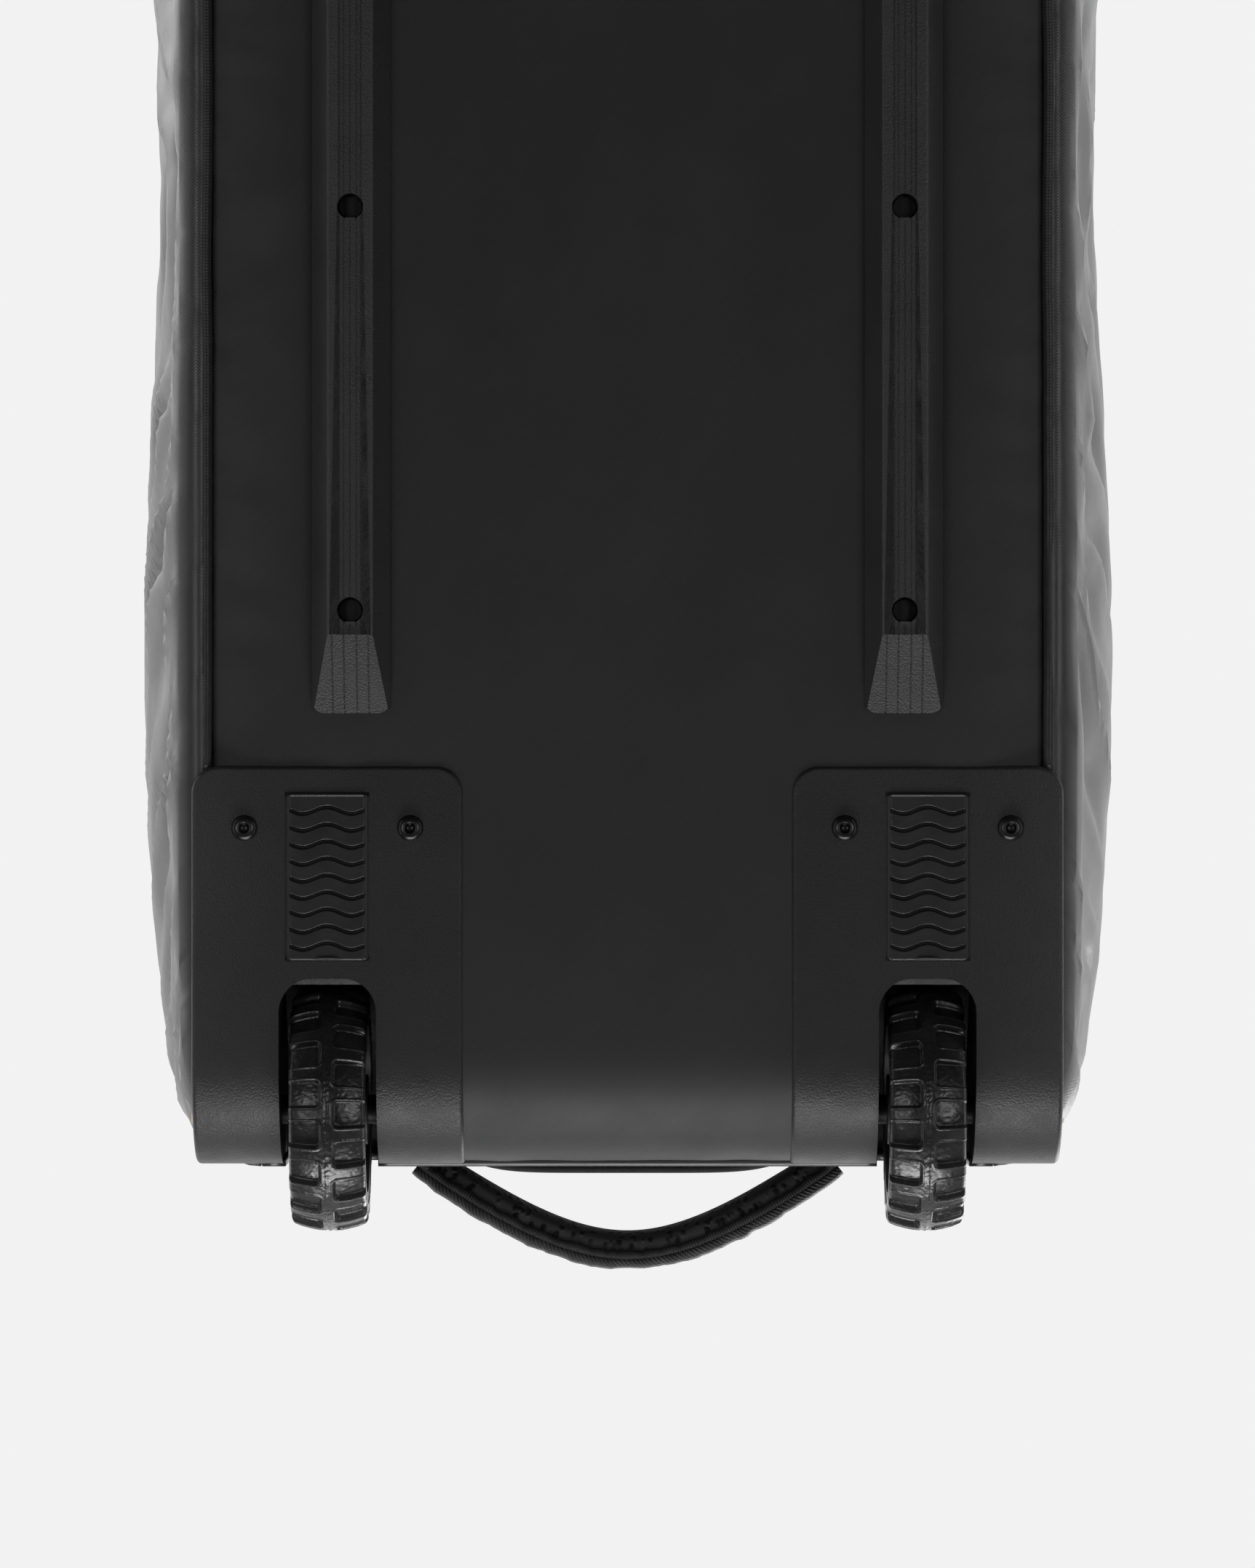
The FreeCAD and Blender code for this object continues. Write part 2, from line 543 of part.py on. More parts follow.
    # Wheel core: rim, five-window web and a hub with two bearing seats.
    hw = 0.5 * CORE_W
    core = ring_x(cx - hw, cx + hw, WHEEL_Y, WHEEL_R, CORE_R, 34.5)
    core = core.fuse(ring_x(cx - 4, cx + 4, WHEEL_Y, WHEEL_R, 35.5, 13.0))
    core = core.fuse(ring_x(cx - hw, cx + hw, WHEEL_Y, WHEEL_R, 14.5, 6.5))
    for end in (-1.0, 1.0):
        seat_x = min(cx + end * hw, cx + end * (hw - BEARING_W))
        core = core.cut(cyl(seat_x, WHEEL_Y, WHEEL_R, (1, 0, 0), BEARING_R, BEARING_W))
    for i in range(5):
        a = math.radians(72 * i + 90)
        y = WHEEL_Y + 24.5 * math.cos(a)
        core = core.cut(cyl(cx - 6, y, WHEEL_R + 24.5 * math.sin(a), (1, 0, 0), 7.5, 12))
    save(side + "_wheel_core", core)
    bearings = [ring_x(cx - hw, cx - hw + BEARING_W, WHEEL_Y, WHEEL_R, BEARING_R, AXLE_R + 0.04),
                ring_x(cx + hw - BEARING_W, cx + hw, WHEEL_Y, WHEEL_R, BEARING_R, AXLE_R + 0.04)]
    save(side + "_bearings", bearings)
    grip_in = SLOT_HALF + WELL_WALL
    axle = cyl(cx - grip_in - 3, WHEEL_Y, WHEEL_R, (1, 0, 0), AXLE_R, 2 * grip_in + 6)
    for end in (-1.0, 1.0):
        head_x = min(cx + end * grip_in, cx + end * (grip_in + 3))
        axle = axle.fuse(cyl(head_x, WHEEL_Y, WHEEL_R, (1, 0, 0), 6.5, 3))
    save(side + "_axle", axle)
    for end in (-1.0, 1.0):
        first = min(cx + end * (hw + 0.3), cx + end * SLOT_HALF)
        last = max(cx + end * (hw + 0.3), cx + end * SLOT_HALF)
        spacers.append(ring_x(first, last, WHEEL_Y, WHEEL_R, 6.0, AXLE_R + 0.04))
save("housing_screws", screws)
save("housing_nuts", nuts)
save("axle_spacers", spacers)

# ---------------------------------------------------------------- floor, tray
board = box(-166, 166, -364, 384, BOARD_Z[0], BOARD_Z[1]).common(lining)
save("base_board", board.cut(wells).cut(fastener_holes(2.4)).cut(bezel_hole))
battens = []
for x, half, y0 in ((-152.0, 9.0, -240.0), (0.0, 12.0, -340.0), (152.0, 9.0, -240.0)):
    battens.append(box(x - half, x + half, y0, 370, BOARD_Z[1] + 0.1, FLOOR_Z[0] - 0.1))
save("floor_battens", battens)
false_floor = box(-200, 200, -404, 404, FLOOR_Z[0], FLOOR_Z[1]).common(lining)
save("false_floor", false_floor.cut(wells))
tray = box(-TRAY_HALF, TRAY_HALF, -410, 410, TRAY_Z[0], TRAY_Z[1])
tray = tray.fuse(box(-210, 210, -410, 410, TRAY_Z[0], TRAY_SHELF_Z)).removeSplitter()
tray = tray.common(lining).cut(wells)
for i in (-1, 0, 1):
    tray = tray.cut(Part.makeSphere(CUP_R, V(0, i * BALL_PITCH, CUP_Z)))
save("foam_ball_tray", tray)

# ---------------------------------------------------------------- tow handle
clamps = []
for side, s in SIDES:
    x = s * TUBE_X
    save(side + "_outer_tube", ring_y(x, TUBE_Z, OUTER_R, OUTER_R - TUBE_WALL, OUTER_Y[0], OUTER_Y[1]))
    save(side + "_stage_1_tube", ring_y(x, TUBE_Z, STAGE1_R, STAGE1_R - TUBE_WALL, STAGE1_Y[0], STAGE1_Y[1]))
    save(side + "_stage_2_tube", ring_y(x, TUBE_Z, STAGE2_R, STAGE2_R - TUBE_WALL, STAGE2_Y[0], STAGE2_Y[1]))
    for y in (-150.0, 60.0, 300.0):
        block = box(x - 14, x + 14, y - 8, y + 8, BOARD_Z[1] + 0.1, FLOOR_Z[0] - 0.1)
        clamps.append(block.cut(cyl(x, y - 20, TUBE_Z, (0, 1, 0), OUTER_R + 0.05, 40)))
save("tube_clamps", clamps)

guides_1 = []
guides_2 = []
ferrules = []
rods = [box(-TUBE_X, TUBE_X, 452.5, 455.5, TUBE_Z - 1.5, TUBE_Z + 1.5)]
for side, s in SIDES:
    x = s * TUBE_X
    guides_1.append(ring_y(x, TUBE_Z, OUTER_R - TUBE_WALL - 0.05, 6.0, STAGE1_Y[0] - 12, STAGE1_Y[0]))
    guides_2.append(ring_y(x, TUBE_Z, STAGE1_R - TUBE_WALL - 0.05, 3.0, STAGE2_Y[0] - 8, STAGE2_Y[0]))
    cap = ring_y(x, TUBE_Z, OUTER_R, STAGE2_R + 0.05, BEZEL_FACE + 0.4, 430.4)
    ferrules.append(cap.cut(cyl(x, 400, TUBE_Z, (0, 1, 0), STAGE1_R, STAGE1_Y[1] - 400)))
    rods.append(cyl(x, -170, TUBE_Z, (0, 1, 0), 1.5, 624))
save("stage_1_guides", guides_1)
save("stage_2_guides", guides_2)
save("stage_1_ferrules", ferrules)
save("release_rods", rods[0].fuse(rods[1:]).removeSplitter())

bezel = box(-116, 116, HALF_LEN + 0.1, BEZEL_FACE, 20, 62)
bezel = round_edges(bezel, 10.0, lambda e: along(e, 1))
bezel = round_edges(bezel, 2.0, lambda e: abs(e.BoundBox.YMin - BEZEL_FACE) < 0.01)
bezel = bezel.fuse(box(-100, 100, 380, HALF_LEN + 0.2, 23, 44))
well = box(-60, 60, 413, 440, 24, 58)
well = round_edges(well, 6.0, lambda e: along(e, 1))
bezel = bezel.cut(well)
for side, s in SIDES:
    bezel = bezel.cut(cyl(s * TUBE_X, 370, TUBE_Z, (0, 1, 0), OUTER_R + 0.05, OUTER_Y[1] + 0.1 - 370))
    bezel = bezel.cut(cyl(s * TUBE_X, 370, TUBE_Z, (0, 1, 0), STAGE1_R + 0.05, 80))
save("tow_bezel", bezel.removeSplitter())

grip = box(-94, 94, GRIP_Y[0], GRIP_Y[1], GRIP_Z[0], GRIP_Z[1])
grip = round_edges(grip, 6.0, lambda e: along(e, 1))
grip = round_edges(grip, 5.0, lambda e: e.BoundBox.YLength < 0.01)
for side, s in SIDES:
    leg = box(s * TUBE_X - 11, s * TUBE_X + 11, 430.8, GRIP_Y[0] + 8, TUBE_Z - 10, TUBE_Z + 10)
    grip = grip.fuse(round_edges(leg, 4.0, lambda e: along(e, 1)))
for side, s in SIDES:
    grip = grip.cut(cyl(s * TUBE_X, 425, TUBE_Z, (0, 1, 0), STAGE2_R, STAGE2_Y[1] + 0.1 - 425))
grip = grip.cut(box(-TUBE_X - 3, TUBE_X + 3, STAGE2_Y[1], 456, TUBE_Z - 3, TUBE_Z + 3))
grip = grip.cut(round_edges(box(-14.4, 14.4, 451.2, 470, 27.6, 38.4), 4.4, lambda e: along(e, 1)))
save("tow_grip", grip.removeSplitter())
button = round_edges(box(-14, 14, 455.7, 463, 28, 38), 4.0, lambda e: along(e, 1))
button = round_edges(button, 1.0, lambda e: abs(e.BoundBox.YMin - 463) < 0.01)
save("release_button", button)


# ---------------------------------------------------------------- grab handles
def handle_parts(panel_y, z, out):
    """Sewn tabs, webbing and padded sleeve of an end handle that bows out along Y."""
    root = panel_y + out * HANDLE_STANDOFF

    def band(rise, thick, w, reach, first):
        """Bowed strip whose outer face stands rise clear of the root line."""
        radius = (HANDLE_HALF ** 2 + HANDLE_OUT ** 2) / (2 * HANDLE_OUT) + rise - HANDLE_OUT
        centre = root + out * (rise - radius)
        strip = cyl(0, centre, z - 0.5 * w, (0, 0, 1), radius, w)
        strip = strip.cut(cyl(0, centre, z - w, (0, 0, 1), radius - thick, 2 * w))
        near = min(root + out * first, root + out * 80)
        far = max(root + out * first, root + out * 80)
        return strip.common(box(-reach, reach, near, far, z - w, z + w))

    mid_rise = HANDLE_OUT - 0.5 * HANDLE_T
    webbing = band(mid_rise + 0.5 * WEB_T, WEB_T, WEB_W, WEB_HALF, 0.3)
    sleeve = band(HANDLE_OUT, HANDLE_T, HANDLE_W, HANDLE_HALF, 9.0)
    sleeve = sleeve.cut(band(mid_rise + 0.5 * WEB_T + 0.05, WEB_T + 0.1, WEB_W + 0.2, 120, 0.1))
    tabs = []
    for s in (-1.0, 1.0):
        tab_x = s * 84.0
        near = min(panel_y, panel_y + out * 2.4)
        far = max(panel_y, panel_y + out * 2.4)
        tab = box(min(tab_x, tab_x + s * 30), max(tab_x, tab_x + s * 30), near, far, z - 12, z + 12)
        tabs.append(round_edges(tab, 2.0, lambda e: along(e, 1)))
    return webbing, sleeve, tabs


webbing, sleeve, wheel_tabs = handle_parts(-HALF_LEN - 0.05, WHEEL_HANDLE_Z, -1.0)
save("wheel_end_handle_webbing", webbing)
save("wheel_end_handle_sleeve", sleeve)
webbing, sleeve, tow_tabs = handle_parts(HALF_LEN + 0.05, TOW_HANDLE_Z, 1.0)
save("tow_end_handle_webbing", webbing)
save("tow_end_handle_sleeve", sleeve)
save("handle_tabs", wheel_tabs + tow_tabs)

# Card pocket sewn flat on the wheel-end panel under the handle.
pocket = box(-61, 61, -HALF_LEN - 3.2, -HALF_LEN - 0.05, 84, 134)
save("card_pocket", round_edges(pocket, 5.0, lambda e: along(e, 1)))
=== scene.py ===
import math

import bpy
import numpy as np
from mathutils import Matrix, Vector, noise


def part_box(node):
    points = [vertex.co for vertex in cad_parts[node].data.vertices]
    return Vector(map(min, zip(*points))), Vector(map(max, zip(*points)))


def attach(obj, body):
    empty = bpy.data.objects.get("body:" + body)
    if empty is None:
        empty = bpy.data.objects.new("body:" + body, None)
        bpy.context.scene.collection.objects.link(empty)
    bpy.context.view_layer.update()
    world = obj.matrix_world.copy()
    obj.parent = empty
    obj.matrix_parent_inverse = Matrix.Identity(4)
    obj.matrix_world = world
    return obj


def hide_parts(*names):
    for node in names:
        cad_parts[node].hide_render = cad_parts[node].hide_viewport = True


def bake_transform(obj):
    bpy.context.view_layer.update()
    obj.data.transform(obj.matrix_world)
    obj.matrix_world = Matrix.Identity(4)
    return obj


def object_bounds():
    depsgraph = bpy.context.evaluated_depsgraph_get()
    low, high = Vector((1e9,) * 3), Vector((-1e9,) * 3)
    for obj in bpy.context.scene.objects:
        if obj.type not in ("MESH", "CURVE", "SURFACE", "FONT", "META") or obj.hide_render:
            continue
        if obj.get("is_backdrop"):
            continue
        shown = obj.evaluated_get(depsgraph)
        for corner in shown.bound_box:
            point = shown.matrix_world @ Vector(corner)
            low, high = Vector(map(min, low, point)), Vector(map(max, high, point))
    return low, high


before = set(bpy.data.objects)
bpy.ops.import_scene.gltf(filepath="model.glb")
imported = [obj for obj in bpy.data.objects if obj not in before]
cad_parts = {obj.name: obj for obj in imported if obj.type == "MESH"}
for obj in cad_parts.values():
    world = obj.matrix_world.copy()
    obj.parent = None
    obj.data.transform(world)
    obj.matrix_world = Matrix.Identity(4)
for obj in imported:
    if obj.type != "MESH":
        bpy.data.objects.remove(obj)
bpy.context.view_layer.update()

# A long rolling bag lying on two skid rails and two wheels.  Lengths in this file are in
# millimetres and become metres where a mesh is made.  X across, Y along, Z up.
MM = 0.001
SIDES = (("left", -1.0), ("right", 1.0))


def node_box(name):
    low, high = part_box(name)
    return np.array(low) / MM, np.array(high) / MM


# ---------------------------------------------------------------- places read from the frame
side_low, side_high = node_box("right_side_panel")
base_low, base_high = node_box("base_panel")
rim_low, rim_high = node_box("top_rim")
ZIP_END_X = node_box("body_zip_half")[0][0]
HALF_LEN = base_high[1]
BULGE_HALF = side_high[0] - 0.5
BULGE_Z = 140.0
FOOT_HALF = 178.5
FOOT_Z = 24.0
HEAD_HALF = rim_high[0]
HEAD_Z = rim_low[2]
BASE_Z = base_low[2]
TOP_Z = rim_high[2]
BASE_HALF = base_high[0]
SEAM_Y = 352.0
WHEEL_CORNER_R = 44.0
TOW_CORNER_R = 20.0
TOP_CORNER_R = 25.0
PLAN_R = 50.0
tyre_low, tyre_high = node_box("right_tyre")
WHEEL_X = 0.5 * (tyre_low[0] + tyre_high[0])
WHEEL_Y = 0.5 * (tyre_low[1] + tyre_high[1])
WHEEL_R = 0.5 * (tyre_high[2] - tyre_low[2])
WHEEL_Z = 0.5 * (tyre_high[2] + tyre_low[2])
rail_low, rail_high = node_box("right_skid_rail")
RAIL_X = 0.5 * (rail_low[0] + rail_high[0])
PORT_HALF = 21.0          # half the width of the opening that a tyre stands in
BEZEL_HALF = 99.0         # half the width of the cut for the tow bezel


# ---------------------------------------------------------------- camera, floor and light
CAMERA_DISTANCE = 3000.0
VIEW_SPAN = 643.6         # height of the picture at the base of the bag
VIEW_Y = -HALF_LEN + 155.0

camera_data = bpy.data.cameras.new("camera")
camera_data.lens = camera_data.sensor_width * CAMERA_DISTANCE / VIEW_SPAN
camera = bpy.data.objects.new("camera", camera_data)
bpy.context.scene.collection.objects.link(camera)
camera.location = (0.0, VIEW_Y * MM, (BASE_Z - CAMERA_DISTANCE) * MM)
camera.rotation_euler = (math.pi, 0.0, math.pi)
bpy.context.scene.camera = camera
bpy.context.scene.view_settings.view_transform = "Standard"


def area_light(name, place, target, size, power):
    data = bpy.data.lights.new(name, "AREA")
    data.shape = "RECTANGLE"
    data.size, data.size_y = size
    data.energy = power
    lamp = bpy.data.objects.new(name, data)
    bpy.context.scene.collection.objects.link(lamp)
    lamp.location = place
    aim = Vector(target) - Vector(place)
    lamp.rotation_mode = "QUATERNION"
    lamp.rotation_quaternion = aim.to_track_quat("-Z", "Y")
    lamp.visible_camera = False
    return lamp


for side, s in SIDES:
    area_light(side + "_low", (s * 1.25, -0.2, -2.3), (0.0, -0.2, 0.0), (0.8, 0.7), 7.5)
    area_light(side + "_strip", (s * 1.45, -0.1, 0.55), (0.0, -0.1, 0.14), (1.9, 0.9), 6.0)
    area_light(side + "_graze", (s * 1.2, -0.15, -0.22), (0.0, -0.15, 0.02), (1.9, 0.22), 1.6)
area_light("end_strip", (0.0, -1.5, -0.42), (0.0, -0.4, 0.05), (1.0, 0.3), 12.0)
area_light("key", (-1.4, -1.7, 2.4), (0.0, 0.0, 0.15), (1.4, 1.4), 28.0)
area_light("fill", (1.8, 1.2, 2.0), (0.0, 0.0, 0.15), (1.6, 1.6), 14.0)

world = bpy.data.worlds.new("studio")
bpy.context.scene.world = world
world.use_nodes = True
wt = world.node_tree
plain = wt.nodes["Background"]
plain.inputs["Color"].default_value = (0.888, 0.888, 0.888, 1.0)
plain.inputs["Strength"].default_value = 1.0
dim = wt.nodes.new("ShaderNodeBackground")
dim.inputs["Color"].default_value = (1.0, 1.0, 1.0, 1.0)
compass = wt.nodes.new("ShaderNodeTexCoord")
upward = wt.nodes.new("ShaderNodeSeparateXYZ")
sky = wt.nodes.new("ShaderNodeMapRange")
for slot_name, value in (("From Min", 0.0), ("From Max", 0.7), ("To Min", 0.02), ("To Max", 1.15)):
    sky.inputs[slot_name].default_value = value
wt.links.new(compass.outputs["Generated"], upward.inputs[0])
wt.links.new(upward.outputs["Z"], sky.inputs["Value"])
wt.links.new(sky.outputs[0], dim.inputs["Strength"])
paths = wt.nodes.new("ShaderNodeLightPath")
either = wt.nodes.new("ShaderNodeMixShader")
wt.links.new(paths.outputs["Is Camera Ray"], either.inputs[0])
wt.links.new(dim.outputs[0], either.inputs[1])
wt.links.new(plain.outputs[0], either.inputs[2])
wt.links.new(either.outputs[0], wt.nodes["World Output"].inputs["Surface"])


# ---------------------------------------------------------------- material helpers
class Material:
    """A Principled material with short calls for its nodes; patterns are laid out in millimetres."""

    def __init__(self, name, colour, rough, **sockets):
        self.made = bpy.data.materials.new(name)
        self.made.use_nodes = True
        self.tree = self.made.node_tree
        self.shader = self.tree.nodes["Principled BSDF"]
        self.shader.inputs["Base Color"].default_value = (*colour, 1.0)
        self.shader.inputs["Roughness"].default_value = rough
        for key, value in sockets.items():
            self.shader.inputs[key.replace("_", " ")].default_value = value
        self.normal = None

    def node(self, kind, inputs=(), **settings):
        made = self.tree.nodes.new("ShaderNode" + kind)
        for key, value in settings.items():
            setattr(made, key, value)
        for key, value in dict(inputs).items():
            if isinstance(value, bpy.types.NodeSocket):
                self.tree.links.new(value, made.inputs[key])
            else:
                made.inputs[key].default_value = value
        return made

    def coords(self, from_uv, stretch=(1.0, 1.0, 1.0)):
        """Millimetre coordinates, from the UV map or from the piece's own place."""
        source = self.node("TexCoord").outputs["UV" if from_uv else "Object"]
        scale = 1.0 if from_uv else 1.0 / MM
        return self.node("Mapping", {"Vector": source, "Scale": [scale * k for k in stretch]}).outputs[0]

    def noise(self, where, size, detail=3.0, rough=0.55):
        inputs = {"Vector": where, "Scale": 1.0 / size, "Detail": detail, "Roughness": rough}
        return self.node("TexNoise", inputs).outputs[0]

    def cells(self, where, size, feature="F1"):
        inputs = {"Vector": where, "Scale": 1.0 / size}
        return self.node("TexVoronoi", inputs, feature=feature).outputs["Distance"]

    def math(self, operation, a, b=0.0):
        return self.node("Math", {0: a, 1: b}, operation=operation).outputs[0]

    def remap(self, value, low, high, out_low, out_high):
        return self.node("MapRange", {0: value, 1: low, 2: high, 3: out_low, 4: out_high}).outputs[0]

    def split(self, where):
        made = self.node("SeparateXYZ", {0: where})
        return made.outputs[0], made.outputs[1], made.outputs[2]

    def tint(self, factor, dark, light):
        ramp = self.node("ValToRGB", {0: factor})
        ramp.color_ramp.elements[0].color = (*dark, 1.0)
        ramp.color_ramp.elements[1].color = (*light, 1.0)
        ramp.color_ramp.elements[0].position = 0.25
        ramp.color_ramp.elements[1].position = 0.75
        self.tree.links.new(ramp.outputs[0], self.shader.inputs["Base Color"])

    def roughness(self, factor, low, high):
        self.tree.links.new(self.remap(factor, 0.25, 0.75, low, high), self.shader.inputs["Roughness"])

    def bump(self, height, depth, strength=1.0):
        """Adds relief: depth is the real height of the pattern in millimetres."""
        inputs = {"Height": height, "Distance": depth * MM, "Strength": strength}
        if self.normal is not None:
            inputs["Normal"] = self.normal
        self.normal = self.node("Bump", inputs).outputs[0]
        self.tree.links.new(self.normal, self.shader.inputs["Normal"])


def twill(m, where, pitch):
    """Diagonal ribs crossed by a finer thread count."""
    u, v, w = m.split(where)
    diagonal = m.math("SINE", m.math("MULTIPLY", m.math("ADD", u, v), 2 * math.pi / pitch))
    across = m.math("SINE", m.math("MULTIPLY", m.math("SUBTRACT", u, v), 2 * math.pi / (0.62 * pitch)))
    return m.math("ADD", m.math("MULTIPLY", diagonal, 0.35), m.math("MULTIPLY", across, 0.15))


def weave(m, where, pitch):
    """Plain weave: warp and weft in turn over each other."""
    u, v, w = m.split(where)
    warp = m.math("SINE", m.math("MULTIPLY", u, math.pi / pitch))
    weft = m.math("SINE", m.math("MULTIPLY", v, math.pi / pitch))
    return m.math("MULTIPLY", m.math("MULTIPLY", warp, weft), 0.5)


def ribs(m, where, pitch, axis):
    """Straight ribs, as in webbing and grosgrain, across the given axis."""
    line = m.split(where)[axis]
    return m.math("MULTIPLY", m.math("SINE", m.math("MULTIPLY", line, 2 * math.pi / pitch)), 0.5)


def coated_fabric():
    m = Material("coated_fabric", (0.02, 0.02, 0.021), 0.5, Specular_IOR_Level=0.42)
    at = m.coords(True)
    m.bump(twill(m, at, 1.25), 0.11, 0.8)
    m.bump(m.noise(at, 0.45, 2.0), 0.05, 0.5)
    m.bump(m.noise(at, 7.0, 4.0), 0.14, 0.4)
    m.tint(m.noise(at, 60.0, 4.0), (0.0165, 0.0165, 0.0172), (0.0235, 0.0235, 0.0245))
    m.roughness(m.noise(at, 25.0, 5.0), 0.46, 0.58)
    return m.made


def side_fabric():
    m = Material("side_fabric", (0.022, 0.022, 0.023), 0.34, Specular_IOR_Level=0.6)
    at = m.coords(True)
    m.bump(weave(m, at, 0.65), 0.07, 0.7)
    m.bump(m.noise(at, 0.5, 2.0), 0.05, 0.4)
    m.bump(m.noise(at, 9.0, 3.0), 0.22, 0.35)
    m.tint(m.noise(at, 70.0, 4.0), (0.018, 0.018, 0.019), (0.026, 0.026, 0.027))
    m.roughness(m.noise(at, 30.0, 4.0), 0.30, 0.41)
    return m.made


def moulded(name, colour, rough, grain, depth, spec=0.5):
    m = Material(name, colour, rough, Specular_IOR_Level=spec)
    at = m.coords(False)
    pebbles = m.math("SUBTRACT", 1.0, m.cells(at, grain))
    m.bump(pebbles, depth, 0.6)
    m.bump(m.noise(at, 0.6 * grain, 4.0), 0.6 * depth, 0.5)
    m.tint(m.noise(at, 35.0, 4.0), tuple(0.86 * c for c in colour), tuple(1.16 * c for c in colour))
    m.roughness(m.noise(at, 12.0, 5.0), rough - 0.06, rough + 0.07)
    return m.made


def metal(name, colour, rough, stretch=(1.0, 0.03, 1.0), amount=1.0):
    m = Material(name, colour, rough, Metallic=amount)
    at = m.coords(False, stretch)
    m.bump(m.noise(at, 0.5, 3.0), 0.02, 0.4)
    m.tint(m.noise(at, 6.0, 3.0), tuple(0.9 * c for c in colour), colour)
    m.roughness(m.noise(at, 3.0, 4.0), rough - 0.05, rough + 0.08)
    return m.made


def rubber(name, colour, rough, spec=0.5):
    m = Material(name, colour, rough, Specular_IOR_Level=spec)
    at = m.coords(False)
    m.bump(m.noise(at, 1.1, 5.0), 0.10, 0.5)
    m.bump(m.noise(at, 6.0, 3.0), 0.2, 0.25)
    m.tint(m.noise(at, 9.0, 5.0), tuple(0.8 * c for c in colour), tuple(1.3 * c for c in colour))
    m.roughness(m.noise(at, 4.0, 5.0), rough - 0.08, rough + 0.12)
    return m.made


def ribbed(name, colour, rough, pitch, axis, depth=0.25):
    m = Material(name, colour, rough, Specular_IOR_Level=0.3, Sheen_Weight=0.03)
    at = m.coords(True)
    m.bump(ribs(m, at, pitch, axis), depth, 0.8)
    m.bump(weave(m, at, 0.5 * pitch), 0.3 * depth, 0.6)
    m.tint(m.noise(at, 5.0, 5.0), tuple(0.75 * c for c in colour), tuple(1.3 * c for c in colour))
    m.roughness(m.noise(at, 3.0, 4.0), rough - 0.08, min(1.0, rough + 0.1))
    return m.made


def herringbone():
    """Binding tape: slanting ribs that turn back every few millimetres, with painted shade in the grooves
    between the ribs.
    """
    m = Material("handle_binding", (0.010, 0.010, 0.0105), 0.5, Specular_IOR_Level=0.45, Sheen_Weight=0.03)
    at = m.coords(True)
    u, v, w = m.split(at)
    zigzag = m.math("PINGPONG", v, 5.0)
    line = m.math("SINE", m.math("MULTIPLY", m.math("ADD", u, zigzag), 2 * math.pi / 1.9))
    ridge_and_groove_shade = m.remap(line, -0.4, 0.7, 0.0, 1.0)
    m.bump(ridge_and_groove_shade, 0.35, 1.0)
    m.bump(weave(m, at, 0.45), 0.12, 0.9)
    # painted shade: the grooves between the ribs are coloured darker than the ribs
    m.tint(ridge_and_groove_shade, (0.003, 0.003, 0.0032), (0.02, 0.02, 0.021))
    m.roughness(m.noise(at, 3.0, 4.0), 0.42, 0.6)
    return m.made


def air_mesh():
    m = Material("air_mesh", (0.007, 0.007, 0.008), 0.75, Specular_IOR_Level=0.2, Sheen_Weight=0.03)
    at = m.coords(True)
    holes_and_hole_shade = m.cells(at, 3.4)
    m.bump(m.remap(holes_and_hole_shade, 0.2, 0.5, 0.0, 1.0), 1.0, 1.0)
    m.bump(m.noise(at, 0.6, 3.0), 0.1, 0.6)
    # painted shade: the holes of the mesh are coloured near black, darker than the threads round them
    m.tint(m.remap(holes_and_hole_shade, 0.2, 0.5, 0.0, 1.0), (0.001, 0.001, 0.001), (0.013, 0.013, 0.0135))
    m.roughness(m.noise(at, 4.0, 3.0), 0.68, 0.85)
    return m.made


def foam():
    m = Material("tray_foam", (0.05, 0.05, 0.054), 0.9, Specular_IOR_Level=0.2, Sheen_Weight=0.2)
    at = m.coords(False)
    m.bump(m.noise(at, 1.6, 4.0), 0.25, 0.7)
    m.bump(m.noise(at, 30.0, 3.0), 1.2, 0.4)
    m.tint(m.noise(at, 14.0, 5.0), (0.040, 0.040, 0.043), (0.062, 0.062, 0.067))
    m.roughness(m.noise(at, 8.0, 3.0), 0.84, 0.96)
    return m.made


def timber():
    m = Material("plywood", (0.45, 0.33, 0.2), 0.6)
    at = m.coords(False, (1.0, 0.06, 1.0))
    grain = m.noise(at, 5.0, 6.0, 0.65)
    m.bump(grain, 0.15, 0.5)
    m.tint(grain, (0.30, 0.20, 0.11), (0.52, 0.39, 0.24))
    m.roughness(m.noise(at, 9.0, 3.0), 0.52, 0.7)
    return m.made


def spare_metal():
    m = Material("axle_metal", (0.02, 0.02, 0.021), 0.5, Metallic=0.6)
    at = m.coords(False)
    m.bump(m.noise(at, 0.8, 3.0), 0.02, 0.4)
    m.tint(m.noise(at, 4.0, 3.0), (0.015, 0.015, 0.016), (0.024, 0.024, 0.025))
    m.roughness(m.noise(at, 3.0, 4.0), 0.45, 0.6)
    return m.made


